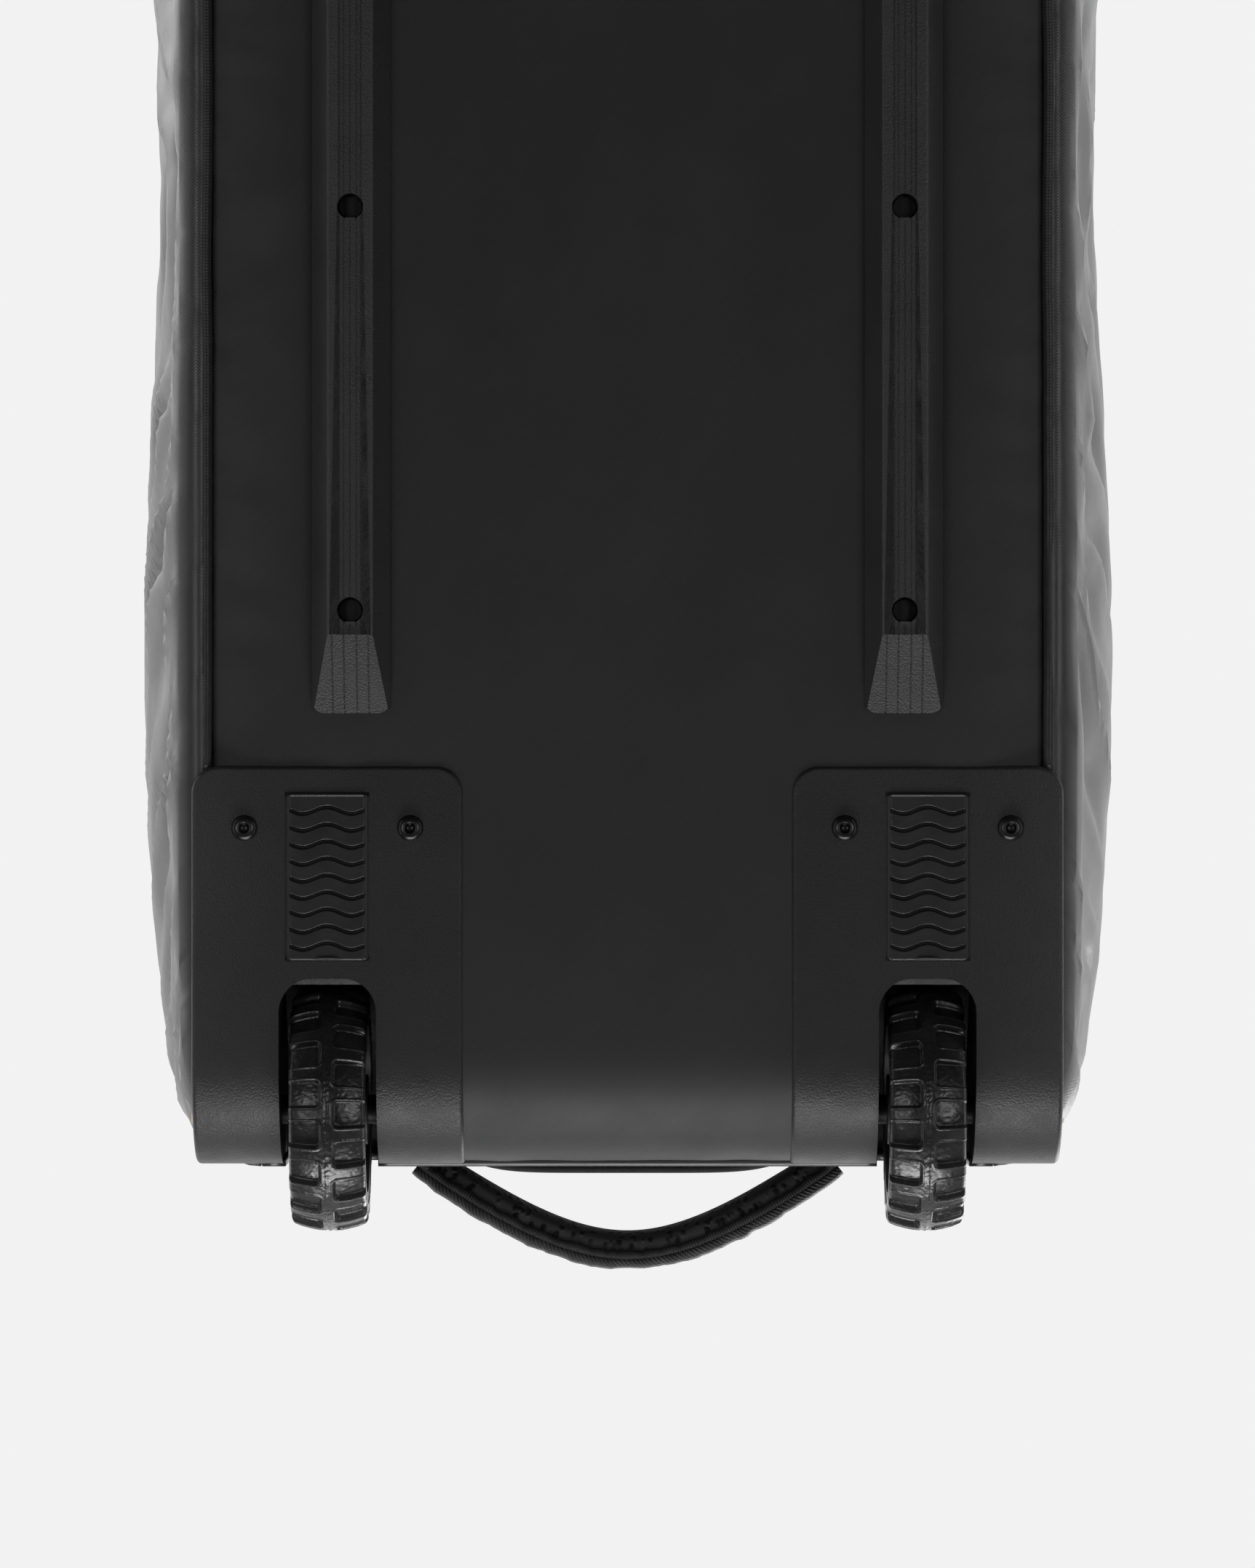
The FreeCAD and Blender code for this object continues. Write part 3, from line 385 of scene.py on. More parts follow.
M = {
    "axle": spare_metal(),
    "base": coated_fabric(),
    "side": side_fabric(),
    "housing": moulded("housing_plastic", (0.017, 0.017, 0.0175), 0.46, 0.9, 0.2, 0.42),
    "rail": moulded("rail_plastic", (0.036, 0.036, 0.037), 0.42, 0.8, 0.16, 0.5),
    "pad": moulded("pad_rubber", (0.014, 0.014, 0.0145), 0.42, 0.9, 0.06, 0.45),
    "tyre": rubber("tyre_rubber", (0.018, 0.018, 0.0185), 0.27, 0.6),
    "core": moulded("core_plastic", (0.06, 0.06, 0.064), 0.4, 1.6, 0.05),
    "black_metal": metal("black_coating", (0.007, 0.007, 0.0075), 0.3, amount=0.0),
    "steel": metal("zinc_steel", (0.55, 0.55, 0.57), 0.32),
    "tube": metal("satin_aluminium", (0.62, 0.62, 0.64), 0.3),
    "gunmetal": metal("gunmetal", (0.09, 0.09, 0.095), 0.28),
    "plastic": moulded("grip_plastic", (0.03, 0.03, 0.031), 0.45, 1.0, 0.07),
    "button": moulded("button_plastic", (0.11, 0.11, 0.115), 0.25, 1.0, 0.02),
    "board": moulded("board_plastic", (0.08, 0.08, 0.085), 0.5, 2.4, 0.1),
    "wood": timber(),
    "foam": foam(),
    "mesh": air_mesh(),
    "webbing": ribbed("webbing", (0.012, 0.012, 0.013), 0.7, 1.5, 0),
    "herringbone": herringbone(),
    "binding": ribbed("grosgrain", (0.007, 0.007, 0.0075), 0.62, 1.1, 0, 0.2),
    "piping": ribbed("piping_cover", (0.016, 0.016, 0.0165), 0.38, 1.3, 0, 0.05),
    "tape": ribbed("zip_tape", (0.02, 0.02, 0.0215), 0.75, 0.9, 1, 0.15),
    "coil": moulded("zip_coil", (0.03, 0.03, 0.032), 0.35, 1.0, 0.02),
    "thread": ribbed("thread", (0.03, 0.03, 0.032), 0.55, 0.5, 0, 0.05),
}


# ---------------------------------------------------------------- mesh helpers
def make_object(name, points, faces, material, uv=None, smooth=True):
    mesh = bpy.data.meshes.new(name)
    places = [tuple(p) for p in np.asarray(points, float) * MM]
    mesh.from_pydata(places, [], [list(map(int, f)) for f in faces])
    if uv is not None:
        layer = mesh.uv_layers.new(name="UVMap")
        corner = np.empty(len(mesh.loops), int)
        mesh.loops.foreach_get("vertex_index", corner)
        layer.data.foreach_set("uv", np.asarray(uv, np.float32)[corner].ravel())
    mesh.polygons.foreach_set("use_smooth", [smooth] * len(mesh.polygons))
    mesh.update()
    made = bpy.data.objects.new(name, mesh)
    bpy.context.scene.collection.objects.link(made)
    made.data.materials.append(material)
    return made


def grid_faces(rows, cols, wrap_cols=False, skip=None, offset=0, flip=False):
    faces = []
    for i in range(rows - 1):
        for j in range(cols if wrap_cols else cols - 1):
            k = (j + 1) % cols
            if skip is not None and skip(i, j):
                continue
            quad = [offset + i * cols + j, offset + i * cols + k,
                    offset + (i + 1) * cols + k, offset + (i + 1) * cols + j]
            faces.append(quad[::-1] if flip else quad)
    return faces


def lengths_along(points):
    """Running length along a line of points, from 0."""
    steps = np.linalg.norm(np.diff(points, axis=0), axis=1)
    return np.concatenate([[0.0], np.cumsum(steps)])


def grid_uv(points):
    """UV in millimetres for a grid of points [row][column]."""
    rows, cols, _ = points.shape
    u = np.array([lengths_along(points[:, j]) for j in (0, cols // 2, cols - 1)]).mean(0)
    v = np.array([lengths_along(points[i]) for i in (0, rows // 2, rows - 1)]).mean(0)
    return np.stack(np.meshgrid(u, v, indexing="ij"), -1).reshape(-1, 2)


def grid_object(name, points, material, flip=False, skip=None):
    rows, cols, _ = points.shape
    faces = grid_faces(rows, cols, skip=skip, flip=flip)
    return make_object(name, points.reshape(-1, 3), faces, material, grid_uv(points))


def border(rows, cols):
    """Numbers of the points on the edge of a grid."""
    return [i * cols + j for i in range(rows) for j in range(cols)
            if i in (0, rows - 1) or j in (0, cols - 1)]


def cell_middle(points, i, j):
    return 0.25 * (points[i, j] + points[i + 1, j] + points[i, j + 1] + points[i + 1, j + 1])


def noise_field(points, size, seed, octaves=3):
    """Smooth seeded noise from about -1 to 1 at each point."""
    shift = Vector((17.3 * seed, -9.1 * seed, 4.7 * seed))
    return np.array([noise.fractal(Vector(p) / size + shift, 0.6, 2.0, octaves) for p in points])


def stretched_noise(sizes, columns, seed, like):
    """Seeded noise with its own size along each of three columns of values, shaped like a grid."""
    places = np.stack([column / size for column, size in zip(columns, sizes)], -1)
    return noise_field(places, 1.0, seed, 2).reshape(like)


def rise(value, low, high):
    """Smooth step from 0 at low to 1 at high."""
    t = np.clip((value - low) / (high - low), 0.0, 1.0)
    return t * t * (3 - 2 * t)


def edge_fade(t, width):
    """0 at both ends of 0..1, 1 further in than width."""
    return rise(np.minimum(t, 1.0 - t), 0.0, width)


def grid_fade(rows, cols, along, up):
    """Fades out towards all four edges of a grid."""
    return edge_fade(np.linspace(0, 1, rows)[:, None], along) \
        * edge_fade(np.linspace(0, 1, cols)[None, :], up)


def resample(points, step, count=None):
    points = np.asarray(points, float)
    run = lengths_along(points)
    if count is None:
        count = max(2, int(round(run[-1] / step)) + 1)
    even = np.linspace(0, run[-1], count)
    return np.stack([np.interp(even, run, points[:, k]) for k in range(points.shape[1])], -1)


def sweep(name, path, section, material, closed_path=False, up=(0.0, 0.0, 1.0), caps=True):
    """Carries a closed section (across, up) along a path; section may be a list, one per point."""
    path = np.asarray(path, float)
    n = len(path)
    up = np.asarray(up, float)
    rings = []
    for i in range(n):
        ahead = path[(i + 1) % n] if closed_path or i < n - 1 else path[i]
        back = path[i - 1] if closed_path or i > 0 else path[i]
        along = ahead - back
        along /= np.linalg.norm(along)
        across = np.cross(along, up)
        across /= np.linalg.norm(across)
        top = np.cross(across, along)
        ring = section[i] if isinstance(section, list) else section
        rings.append(path[i] + ring[:, :1] * across + ring[:, 1:] * top)
    points = np.array(rings)
    cols = points.shape[1]
    if closed_path:
        points = np.concatenate([points, points[:1]])
    run = lengths_along(points[:, 0])
    around = lengths_along(np.vstack([points[0], points[0][:1]]))[:cols]
    uv = np.stack(np.meshgrid(run, around, indexing="ij"), -1).reshape(-1, 2)
    faces = grid_faces(len(points), cols, wrap_cols=True)
    if caps and not closed_path:
        faces.append(list(range(cols))[::-1])
        faces.append([(len(points) - 1) * cols + j for j in range(cols)])
    return make_object(name, points.reshape(-1, 3), faces, material, uv)


def circle(radius, count=12):
    a = np.arange(count) * 2 * math.pi / count
    return np.stack([radius * np.cos(a), radius * np.sin(a)], -1)


def rounded_section(half_across, half_up, power=4.0, count=28):
    a = np.arange(count) * 2 * math.pi / count
    c, s = np.cos(a), np.sin(a)
    return np.stack([half_across * np.sign(c) * np.abs(c) ** (2 / power),
                     half_up * np.sign(s) * np.abs(s) ** (2 / power)], -1)


def point_at(path, run, where):
    """The point of a line of points at a running length."""
    return np.array([np.interp(where, run, path[:, k]) for k in range(3)])


def bar_faces(first, rings, flip=False):
    """Faces of a closed six-sided bar; its rings of points follow each other from number first."""
    faces = []
    for low in range(first, first + 6 * (rings - 1), 6):
        for k in range(6):
            n = (k + 1) % 6
            faces.append([low + k, low + n, low + 6 + n, low + 6 + k])
    faces.append([first + k for k in range(6)][::-1])
    faces.append([first + 6 * (rings - 1) + k for k in range(6)])
    return [face[::-1] for face in faces] if flip else faces


def stitches(name, path, pitch, size, material, body, up=(0.0, 0.0, 1.0), closed=False):
    """A row of short raised thread stitches along a path."""
    path = np.asarray(path, float)
    if closed:
        path = np.vstack([path, path[:1]])
    run = lengths_along(path)
    count = max(2, int(run[-1] / pitch))
    verts, faces, uv = [], [], []
    up = np.asarray(up, float)
    for i in range(count):
        middle = (i + 0.5) * run[-1] / count
        ends = [point_at(path, run, middle + d) for d in (-0.36 * pitch, 0.36 * pitch)]
        along = ends[1] - ends[0]
        along /= max(1e-6, np.linalg.norm(along))
        across = np.cross(along, up)
        across /= max(1e-6, np.linalg.norm(across))
        top = np.cross(across, along)
        first = len(verts)
        for t, lift, wide in ((0.0, -0.3, 0.4), (0.25, 0.5, 1.0), (0.75, 0.5, 1.0), (1.0, -0.3, 0.4)):
            centre = ends[0] + t * (ends[1] - ends[0]) + top * lift * size
            for k in range(6):
                a = k * math.pi / 3
                verts.append(centre + size * wide * (math.cos(a) * across + 0.7 * math.sin(a) * top))
                uv.append((middle + t * pitch, a))
        faces += bar_faces(first, 4)
    made = make_object(name, verts, faces, material, uv)
    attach(made, body)
    return made


def thicken(obj, thickness, outward=0.0):
    """Gives a fabric surface its thickness; outward is the share on the outer side."""
    mod = obj.modifiers.new("thickness", "SOLIDIFY")
    mod.thickness = thickness * MM
    mod.offset = 2.0 * outward - 1.0
    mod.use_even_offset = True
    mod.use_rim = True
    return obj


def relax_cloth(obj, pinned, frames=16, pressure=1.5, spare=0.008, cap=6.0):
    """Lets a fabric panel settle between its sewn edges with a little spare cloth in it."""
    count = len(obj.data.vertices)
    rest = np.zeros(count * 3)
    obj.data.vertices.foreach_get("co", rest)
    rest = rest.reshape(-1, 3)
    group = obj.vertex_groups.new(name="sewn")
    group.add([int(i) for i in pinned], 1.0, "REPLACE")
    mod = obj.modifiers.new("Cloth", "CLOTH")
    for key, value in (
            ("quality", 5), ("mass", 0.15), ("bending_stiffness", 0.35),
            ("tension_stiffness", 25), ("compression_stiffness", 25), ("shear_stiffness", 8),
            ("tension_damping", 12), ("compression_damping", 12), ("shear_damping", 8),
            ("air_damping", 4), ("vertex_group_mass", "sewn"), ("shrink_min", -spare),
            ("use_pressure", True), ("uniform_pressure_force", pressure)):
        setattr(mod.settings, key, value)
    mod.settings.effector_weights.gravity = 0
    mod.collision_settings.use_collision = False
    mod.point_cache.frame_start = 1
    mod.point_cache.frame_end = frames
    scene = bpy.context.scene
    for f in range(1, frames + 1):
        scene.frame_set(f)
    graph = bpy.context.evaluated_depsgraph_get()
    moved = np.zeros(count * 3)
    obj.evaluated_get(graph).data.vertices.foreach_get("co", moved)
    moved = moved.reshape(-1, 3)
    shift = moved - rest
    far = np.linalg.norm(shift, axis=1)
    limit = cap * MM
    scale = np.where(far > 1e-9, limit * np.tanh(far / limit) / np.maximum(far, 1e-9), 0.0)
    obj.modifiers.remove(mod)
    obj.vertex_groups.remove(group)
    obj.data.vertices.foreach_set("co", (rest + shift * scale[:, None]).ravel())
    obj.data.update()
    scene.frame_set(1)
    print("cloth", obj.name, "moved up to", round(float(far.max()) / MM, 2), "mm")


# ---------------------------------------------------------------- shape of the body
def circle_through(a, b, c):
    """Centre and radius of the circle through three (x, z) points."""
    ax, az = a
    bx, bz = b
    cx, cz = c
    aa, bb, cc = ax ** 2 + az ** 2, bx ** 2 + bz ** 2, cx ** 2 + cz ** 2
    d = 2 * (ax * (bz - cz) + bx * (cz - az) + cx * (az - bz))
    ux = (aa * (bz - cz) + bb * (cz - az) + cc * (az - bz)) / d
    uz = (aa * (cx - bx) + bb * (ax - cx) + cc * (bx - ax)) / d
    return ux, uz, math.hypot(ax - ux, az - uz)


ARC_X, ARC_Z, ARC_R = circle_through((FOOT_HALF, FOOT_Z), (BULGE_HALF, BULGE_Z),
                                     (HEAD_HALF, HEAD_Z))


def half_width(z):
    """Half the body's width at height z."""
    if z < FOOT_Z:
        t = (z - BASE_Z) / (FOOT_Z - BASE_Z)
        return FOOT_HALF - 11.0 * (1.0 - t) ** 1.6
    return ARC_X + math.sqrt(max(0.0, ARC_R ** 2 - (z - ARC_Z) ** 2))


def half_length(z, end):
    """Distance from the middle to the end face at height z; end is -1 at the wheels."""
    radius = WHEEL_CORNER_R if end < 0 else TOW_CORNER_R
    for reach, radius in ((z - BASE_Z, radius), (TOP_Z - z, TOP_CORNER_R)):
        if reach < radius:
            return HALF_LEN - radius + math.sqrt(max(0.0, radius ** 2 - (radius - reach) ** 2))
    return HALF_LEN


def side_heights(step):
    """Heights from the foot seam to the head seam, evenly spaced along the panel."""
    fine = np.linspace(18.2, HEAD_Z, 400)
    line = np.array([(half_width(z), z) for z in fine])
    run = lengths_along(line)
    return np.interp(np.linspace(0, run[-1], int(run[-1] / step) + 1), run, fine)


# ---------------------------------------------------------------- fabric panels
def drag_lines(run, v, tall, seed):
    """Slanting folds that a padded side gets where it is sewn down, in millimetres.

    They lean away from the middle of the bag as they climb, about 55 degrees from its length.
    """
    away = np.sqrt(run ** 2 + 40.0 ** 2)
    drift = noise_field(np.stack([run / 120.0, v / 80.0, np.full_like(run, seed)], -1), 1.0, seed, 2)
    low = away - 0.72 * v + 14.0 * drift
    high = away - 0.6 * (tall - v) + 12.0 * drift
    place = 2.0 * np.tanh(run / 160.0)
    vary = noise_field(np.stack([run / 60.0, v / 110.0, place + seed], -1), 1.0, seed + 3, 2)
    fine = noise_field(np.stack([low / 15.0, v / 110.0, place - seed], -1), 1.0, seed + 4, 1)
    top = noise_field(np.stack([high / 30.0, v / 150.0, place + seed], -1), 1.0, seed + 6, 1)
    turn = 2 * math.pi * low / 38.0 + 2.6 * vary
    wide = np.sin(turn) + 0.28 * np.sin(2.0 * turn + 0.6)
    wide *= np.clip(0.75 + 1.1 * vary, 0.15, 1.4)
    head = 1.0 - 3.2 * np.abs(top)
    from_foot = rise(v, 6.0, 32.0) * (1.0 - 0.72 * rise(v, 60.0, 115.0)) \
        * (1.0 - 0.7 * rise(v, 120.0, 220.0))
    from_head = rise(tall - v, 5.0, 30.0) * (1.0 - rise(tall - v, 70.0, 130.0))
    broad = noise_field(np.stack([run / 150.0, v / 90.0, np.full_like(run, seed)], -1), 1.0, seed + 9, 2)
    return 1.3 * broad + from_foot * (2.9 * wide + 1.4 * fine) + 1.2 * from_head * head


SEAM_X = side_low[0]
heights = side_heights(4.5)
# Fullness of the padded sides: distance from the middle of the bag, and how far out they stand.
FULL_AT = [0.0, 60.0, 120.0, 170.0, 220.0, 290.0, 330.0, 350.0, 365.0, 382.0, 396.0, 410.0]
FULLNESS = [-7.0, -5.4, -1.8, 0.0, 0.7, -2.0, -4.8, -7.6, -9.6, -9.6, -6.5, 0.0]


def side_outline(z):
    """Line round the right side panel at height z, from its wheel-end seam to its tow-end seam."""
    hw = half_width(z)
    ends = []
    for end in (-1.0, 1.0):
        hl = half_length(z, end)
        r = PLAN_R - 0.9 * (BULGE_HALF - hw)
        line = []
        for a in np.linspace(0.0, 0.5 * math.pi, 40):
            x = hw - r + r * math.sin(a)
            if x > SEAM_X:
                line.append((x, end * (hl - r + r * math.cos(a))))
        first_y = end * (hl - r + math.sqrt(max(0.0, r * r - max(0.0, SEAM_X - hw + r) ** 2)))
        ends.append([(SEAM_X, first_y)] + line)
    return resample(ends[0] + ends[1][::-1], 1.0)


def grid_normals(points):
    along = np.gradient(points, axis=0)
    up = np.gradient(points, axis=1)
    normal = np.cross(along, up)
    return normal / np.maximum(1e-9, np.linalg.norm(normal, axis=2))[:, :, None]


ROWS = 196
for side, s in SIDES:
    shape = np.array([[(x, y, z) for x, y in resample(side_outline(z), 1.0, ROWS)] for z in heights])
    shape = shape.transpose(1, 0, 2)
    out = grid_normals(shape)
    run = lengths_along(shape[:, len(heights) // 2])
    run -= 0.5 * run[-1]
    rows, cols, _ = shape.shape
    rr, vv = np.meshgrid(run, lengths_along(shape[ROWS // 2]), indexing="ij")
    tall = vv[0, -1]
    lift = drag_lines(rr.ravel(), vv.ravel(), tall, 2.0 if s < 0 else 7.0).reshape(rows, cols)
    lift *= grid_fade(rows, cols, 0.03, 0.07)
    roll = 3.2 * np.exp(-((vv - 16.0) / 12.0) ** 2) * rise(vv, 0.0, 6.0)
    lift += roll * edge_fade(np.linspace(0, 1, rows)[:, None], 0.03)
    full = np.interp(np.abs(shape[:, :, 1]), FULL_AT, FULLNESS)
    full *= np.sin(math.pi * np.clip(vv / tall, 0, 1)) ** 0.8
    shape = shape + (lift + full)[:, :, None] * out
    shape[:, :, 0] *= s

    def covered(i, j, shape=shape):
        x, y, z = cell_middle(shape, i, j)
        sill = 57.0 if y < 0 else 33.0
        return abs(x) < BASE_HALF - 3 and z < sill and abs(y) > SEAM_Y - 60

    panel = grid_object(side + "_side_cover", shape, M["side"], flip=s < 0, skip=covered)
    relax_cloth(panel, border(rows, cols), spare=0.004, cap=1.4)
    thicken(panel, 4.2)
    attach(panel, "bag")
    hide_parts(side + "_side_panel")

for name, end in (("wheel_end", -1.0), ("tow_end", 1.0)):
    foot = 58.0 if end < 0 else 34.0
    levels = np.linspace(foot, HEAD_Z, 46)
    xs = np.linspace(-SEAM_X, SEAM_X, 64)
    pts = np.array([[(x, end * half_length(z, end), z) for z in levels] for x in xs])
    rows, cols, _ = pts.shape
    bumps = noise_field(pts.reshape(-1, 3), 90.0, 11 + end, 2).reshape(rows, cols)
    pillow = np.cos(0.5 * math.pi * np.clip(pts[:, :, 0] / SEAM_X, -1, 1)) \
        * np.sin(math.pi * np.clip((pts[:, :, 2] - 90) / (HEAD_Z - 90), 0, 1))
    pts[:, :, 1] += end * (1.0 * bumps + 2.2 * pillow) * grid_fade(rows, cols, 0.06, 0.10)

    def hidden(i, j, pts=pts, end=end):
        x, _, z = cell_middle(pts, i, j)
        if end < 0:
            return abs(abs(x) - WHEEL_X) < PORT_HALF and z < 103.0
        return abs(x) < BEZEL_HALF and z < 44.0

    panel = grid_object(name + "_cover", pts, M["side"], flip=end > 0, skip=hidden)
    thicken(panel, 4.2)
    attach(panel, "bag")
    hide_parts(name + "_panel")
    for side, s in SIDES:
        line = [(s * (SEAM_X + 0.5), end * half_length(z, end), z)
                for z in np.arange(foot + 4, HEAD_Z, 4.0)]
        seam = sweep("%s_%s_seam" % (name, side), line, circle(1.3, 8), M["piping"],
                     up=(0.0, 1.0, 0.0))
        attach(seam, "bag")

# Base: coated fabric drawn over the board, up round the wheel-end corner and a little up the tow end.
profile = [(-HALF_LEN, 62.0)]
for a in np.linspace(0, 0.5 * math.pi, 24):
    profile.append((-HALF_LEN + WHEEL_CORNER_R - WHEEL_CORNER_R * math.cos(a),
                    BASE_Z + WHEEL_CORNER_R - WHEEL_CORNER_R * math.sin(a)))
for a in np.linspace(0, 0.5 * math.pi, 12):
    profile.append((HALF_LEN - TOW_CORNER_R + TOW_CORNER_R * math.sin(a),
                    BASE_Z + TOW_CORNER_R - TOW_CORNER_R * math.cos(a)))
profile = resample(profile, 4.0)
xs = np.linspace(-BASE_HALF + 0.4, BASE_HALF - 0.4, 129)
pts = np.array([[(x, y, z) for x in xs] for y, z in profile])
rows, cols, _ = pts.shape
flat = pts.reshape(-1, 3).T
steps = np.gradient(profile, axis=0)
outward = np.stack([np.zeros(rows), steps[:, 1], -steps[:, 0]], -1)
outward /= np.linalg.norm(outward, axis=1)[:, None]
waves = stretched_noise((30.0, 190.0, 190.0), flat, 21, (rows, cols))
puckers = stretched_noise((60.0, 22.0, 22.0), flat, 33, (rows, cols))
small_tucks = stretched_noise((40.0, 8.0, 8.0), flat, 35, (rows, cols))
near_edge = np.clip((np.abs(xs) - 0.80 * BASE_HALF) / (0.20 * BASE_HALF), 0, 1)[None, :]
tuck = -3.2 * near_edge ** 2.2
along_rail = rise(profile[:, 0], -236.0, -196.0) * (1.0 - rise(profile[:, 0], 323.0, 363.0))
beside_rail = -2.5 * np.exp(-((np.abs(xs) - RAIL_X) / 17.0) ** 2)[None, :] * along_rail[:, None]
crease = np.exp(-((np.abs(xs) - RAIL_X - 31.0) / 1.6) ** 2)[None, :] * (0.5 + 0.5 * waves)
lift = beside_rail + 0.35 * crease + 0.55 * near_edge * small_tucks
lift = lift + 0.55 * waves * (1 - 0.8 * near_edge) + 0.7 * puckers * near_edge * (1 - near_edge) * 3
lift = lift + tuck + 0.4
pts = pts + lift[:, :, None] * outward[:, None, :]


def base_hidden(i, j):
    x, y, z = cell_middle(pts, i, j)
    if abs(abs(x) - WHEEL_X) < PORT_HALF and y < -337.0:
        return True
    return y > HALF_LEN - 12 and abs(x) < BEZEL_HALF and z > 24.0


base = grid_object("base_cover", pts, M["base"], skip=base_hidden)
thicken(base, 1.4)
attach(base, "bag")
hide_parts("base_panel")


# ---------------------------------------------------------------- top rim, lid and zip
def plan_outline(half_x, half_y, radius, count=14):
    """Closed rounded rectangle, anticlockwise from the right-hand side's low end."""
    points = []
    x, y = half_x - radius, half_y - radius
    for cx, cy, start in ((x, y, 0), (-x, y, 90), (-x, -y, 180), (x, -y, 270)):
        for k in range(count + 1):
            a = math.radians(start + 90.0 * k / count)
            points.append((cx + radius * math.cos(a), cy + radius * math.sin(a)))
    return np.array(points)


LID_X, LID_Y, LID_R = 158.0, 380.0, 45.0
rings = []
for k in range(9):
    a = 0.5 * math.pi * k / 8
    z = HEAD_Z + (TOP_Z - HEAD_Z) * math.sin(a)
    hx = HEAD_HALF - 18.0 * (1 - math.cos(a))
    hy = half_length(z, 1.0)
    rings.append((hx, hy, 34.0 + 0.3 * k, z))
rings += [(LID_X + 3, LID_Y + 1.6, LID_R + 2, TOP_Z + 0.4), (LID_X + 0.4, LID_Y + 0.4, LID_R, TOP_Z - 0.4),
          (LID_X + 0.4, LID_Y + 0.4, LID_R, TOP_Z - 4.6)]
outlines = []
for hx, hy, r, z in rings:
    outline = plan_outline(hx, hy, r)
    closed = np.vstack([outline, outline[:1]])
    if not outlines:
        count = len(resample(closed, 4.0)) - 1
    even = resample(closed, 4.0, count + 1)[:-1]
    outlines.append(np.column_stack([even, np.full(count, z)]))
pts = np.array(outlines)
bumps = noise_field(pts.reshape(-1, 3), 60.0, 41, 2).reshape(pts.shape[:2])
pts[:, :, 2] += 0.8 * bumps * np.sin(np.linspace(0, math.pi, len(rings)))[:, None]
uv = np.meshgrid(lengths_along(pts[:, 0]), lengths_along(pts[0]), indexing="ij")
uv = np.stack(uv, -1).reshape(-1, 2)
rim = make_object("top_rim_cover", pts.reshape(-1, 3), grid_faces(len(rings), count, wrap_cols=True),
                  M["side"], uv)
thicken(rim, 3.6)
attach(rim, "bag")
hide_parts("top_rim")

TAPE_INSET = 14.6         # from the edge of the rim's opening to the edge of the lid's cloth
half_x, half_y, corner_r = LID_X - TAPE_INSET, LID_Y - TAPE_INSET, LID_R - TAPE_INSET
ys = np.linspace(-half_y, half_y, 160)


def lid_half(y):
    reach = half_y - abs(y)
    if reach >= corner_r:
        return half_x
    return half_x - corner_r + math.sqrt(max(0.0, corner_r ** 2 - (corner_r - reach) ** 2))


tuv = np.linspace(0, 1, 66)
pts = []
for y in ys:
    right = lid_half(y)
    left = -(LID_X - 0.8)
    pts.append([(left + (right - left) * t, y, TOP_Z - 1.2) for t in tuv])
pts = np.array(pts)
# Beyond the ends of the zip the lid reaches out to the rim and is part of it at the fold.
corner_out = LID_R - 1.6
past = np.clip(-pts[:, :, 0] - (LID_X - 1.6 - corner_out), 0.0, corner_out)
reach_y = LID_Y - 1.6 - corner_out + np.sqrt(corner_out ** 2 - past ** 2)
unzipped = rise(-pts[:, :, 0], -ZIP_END_X - 1.0, -ZIP_END_X + 4.0)
pts[:, :, 1] *= 1.0 + (reach_y / half_y - 1.0) * unzipped
rows, cols, _ = pts.shape
flat = pts.reshape(-1, 3)
t_row = np.linspace(0, 1, rows)[:, None]
t_col = tuv[None, :]
crown = edge_fade(t_row, 0.10) * edge_fade(t_col, 0.22)
soft = noise_field(flat, 120.0, 51, 3).reshape(rows, cols)
pts[:, :, 2] += 4.0 * crown + 1.6 * soft * edge_fade(t_row, 0.04) * edge_fade(t_col, 0.08)
lid = grid_object("lid_cover", pts, M["side"], flip=True)
relax_cloth(lid, border(rows, cols), pressure=0.8, spare=0.006, cap=3.5)
thicken(lid, 3.6)
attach(lid, "lid")
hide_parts("lid_panel")


def zip_path(inset, z):
    """Line round the three zipped sides of the lid, from the wheel end to the tow end."""
    outline = plan_outline(LID_X - inset, LID_Y - inset, LID_R - inset)
    closed = np.vstack([outline, outline[:1]])
    dense = resample(closed, 2.0)
    keep = dense[dense[:, 0] > ZIP_END_X]
    angle = np.arctan2(keep[:, 1], keep[:, 0] + 140.0)
    keep = keep[np.argsort(angle)]
    return np.column_stack([keep, np.full(len(keep), z)])


def zip_teeth(name, inset, reach, body):
    """One half of the coil: a small loop every 2.4 mm reaching over the middle of the chain."""
    path = zip_path(inset, 298.0)
    run = lengths_along(path)
    count = int(run[-1] / 2.4)
    verts, faces, uv = [], [], []
    for i in range(count):
        middle = (i + (0.5 if reach > 0 else 0.0)) * run[-1] / count
        at = point_at(path, run, middle)
        along = point_at(path, run, middle + 1.0) - at
        along /= max(1e-6, np.linalg.norm(along))
        across = np.array([-along[1], along[0], 0.0])
        first = len(verts)
        for t, wide in ((-1.5, 0.35), (-1.2, 0.62), (0.9, 0.62), (1.35, 0.7), (1.6, 0.3)):
            for k in range(6):
                a = k * math.pi / 3
                around = math.cos(a) * along + 1.3 * math.sin(a) * np.array([0, 0, 1.0])
                verts.append(at + reach * t * across + wide * around)
                uv.append((middle, t))
        faces += bar_faces(first, 5, flip=reach < 0)
    made = make_object(name, verts, faces, M["coil"], uv)
    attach(made, body)
    return made


def flat_section(half_across, half_up):
    r = min(half_across, half_up) * 0.6
    x, z = half_across, half_up
    return np.array([(x, -z + r), (x, z - r), (x - r, z), (-x + r, z),
                     (-x, z - r), (-x, -z + r), (-x + r, -z), (x - r, -z)])


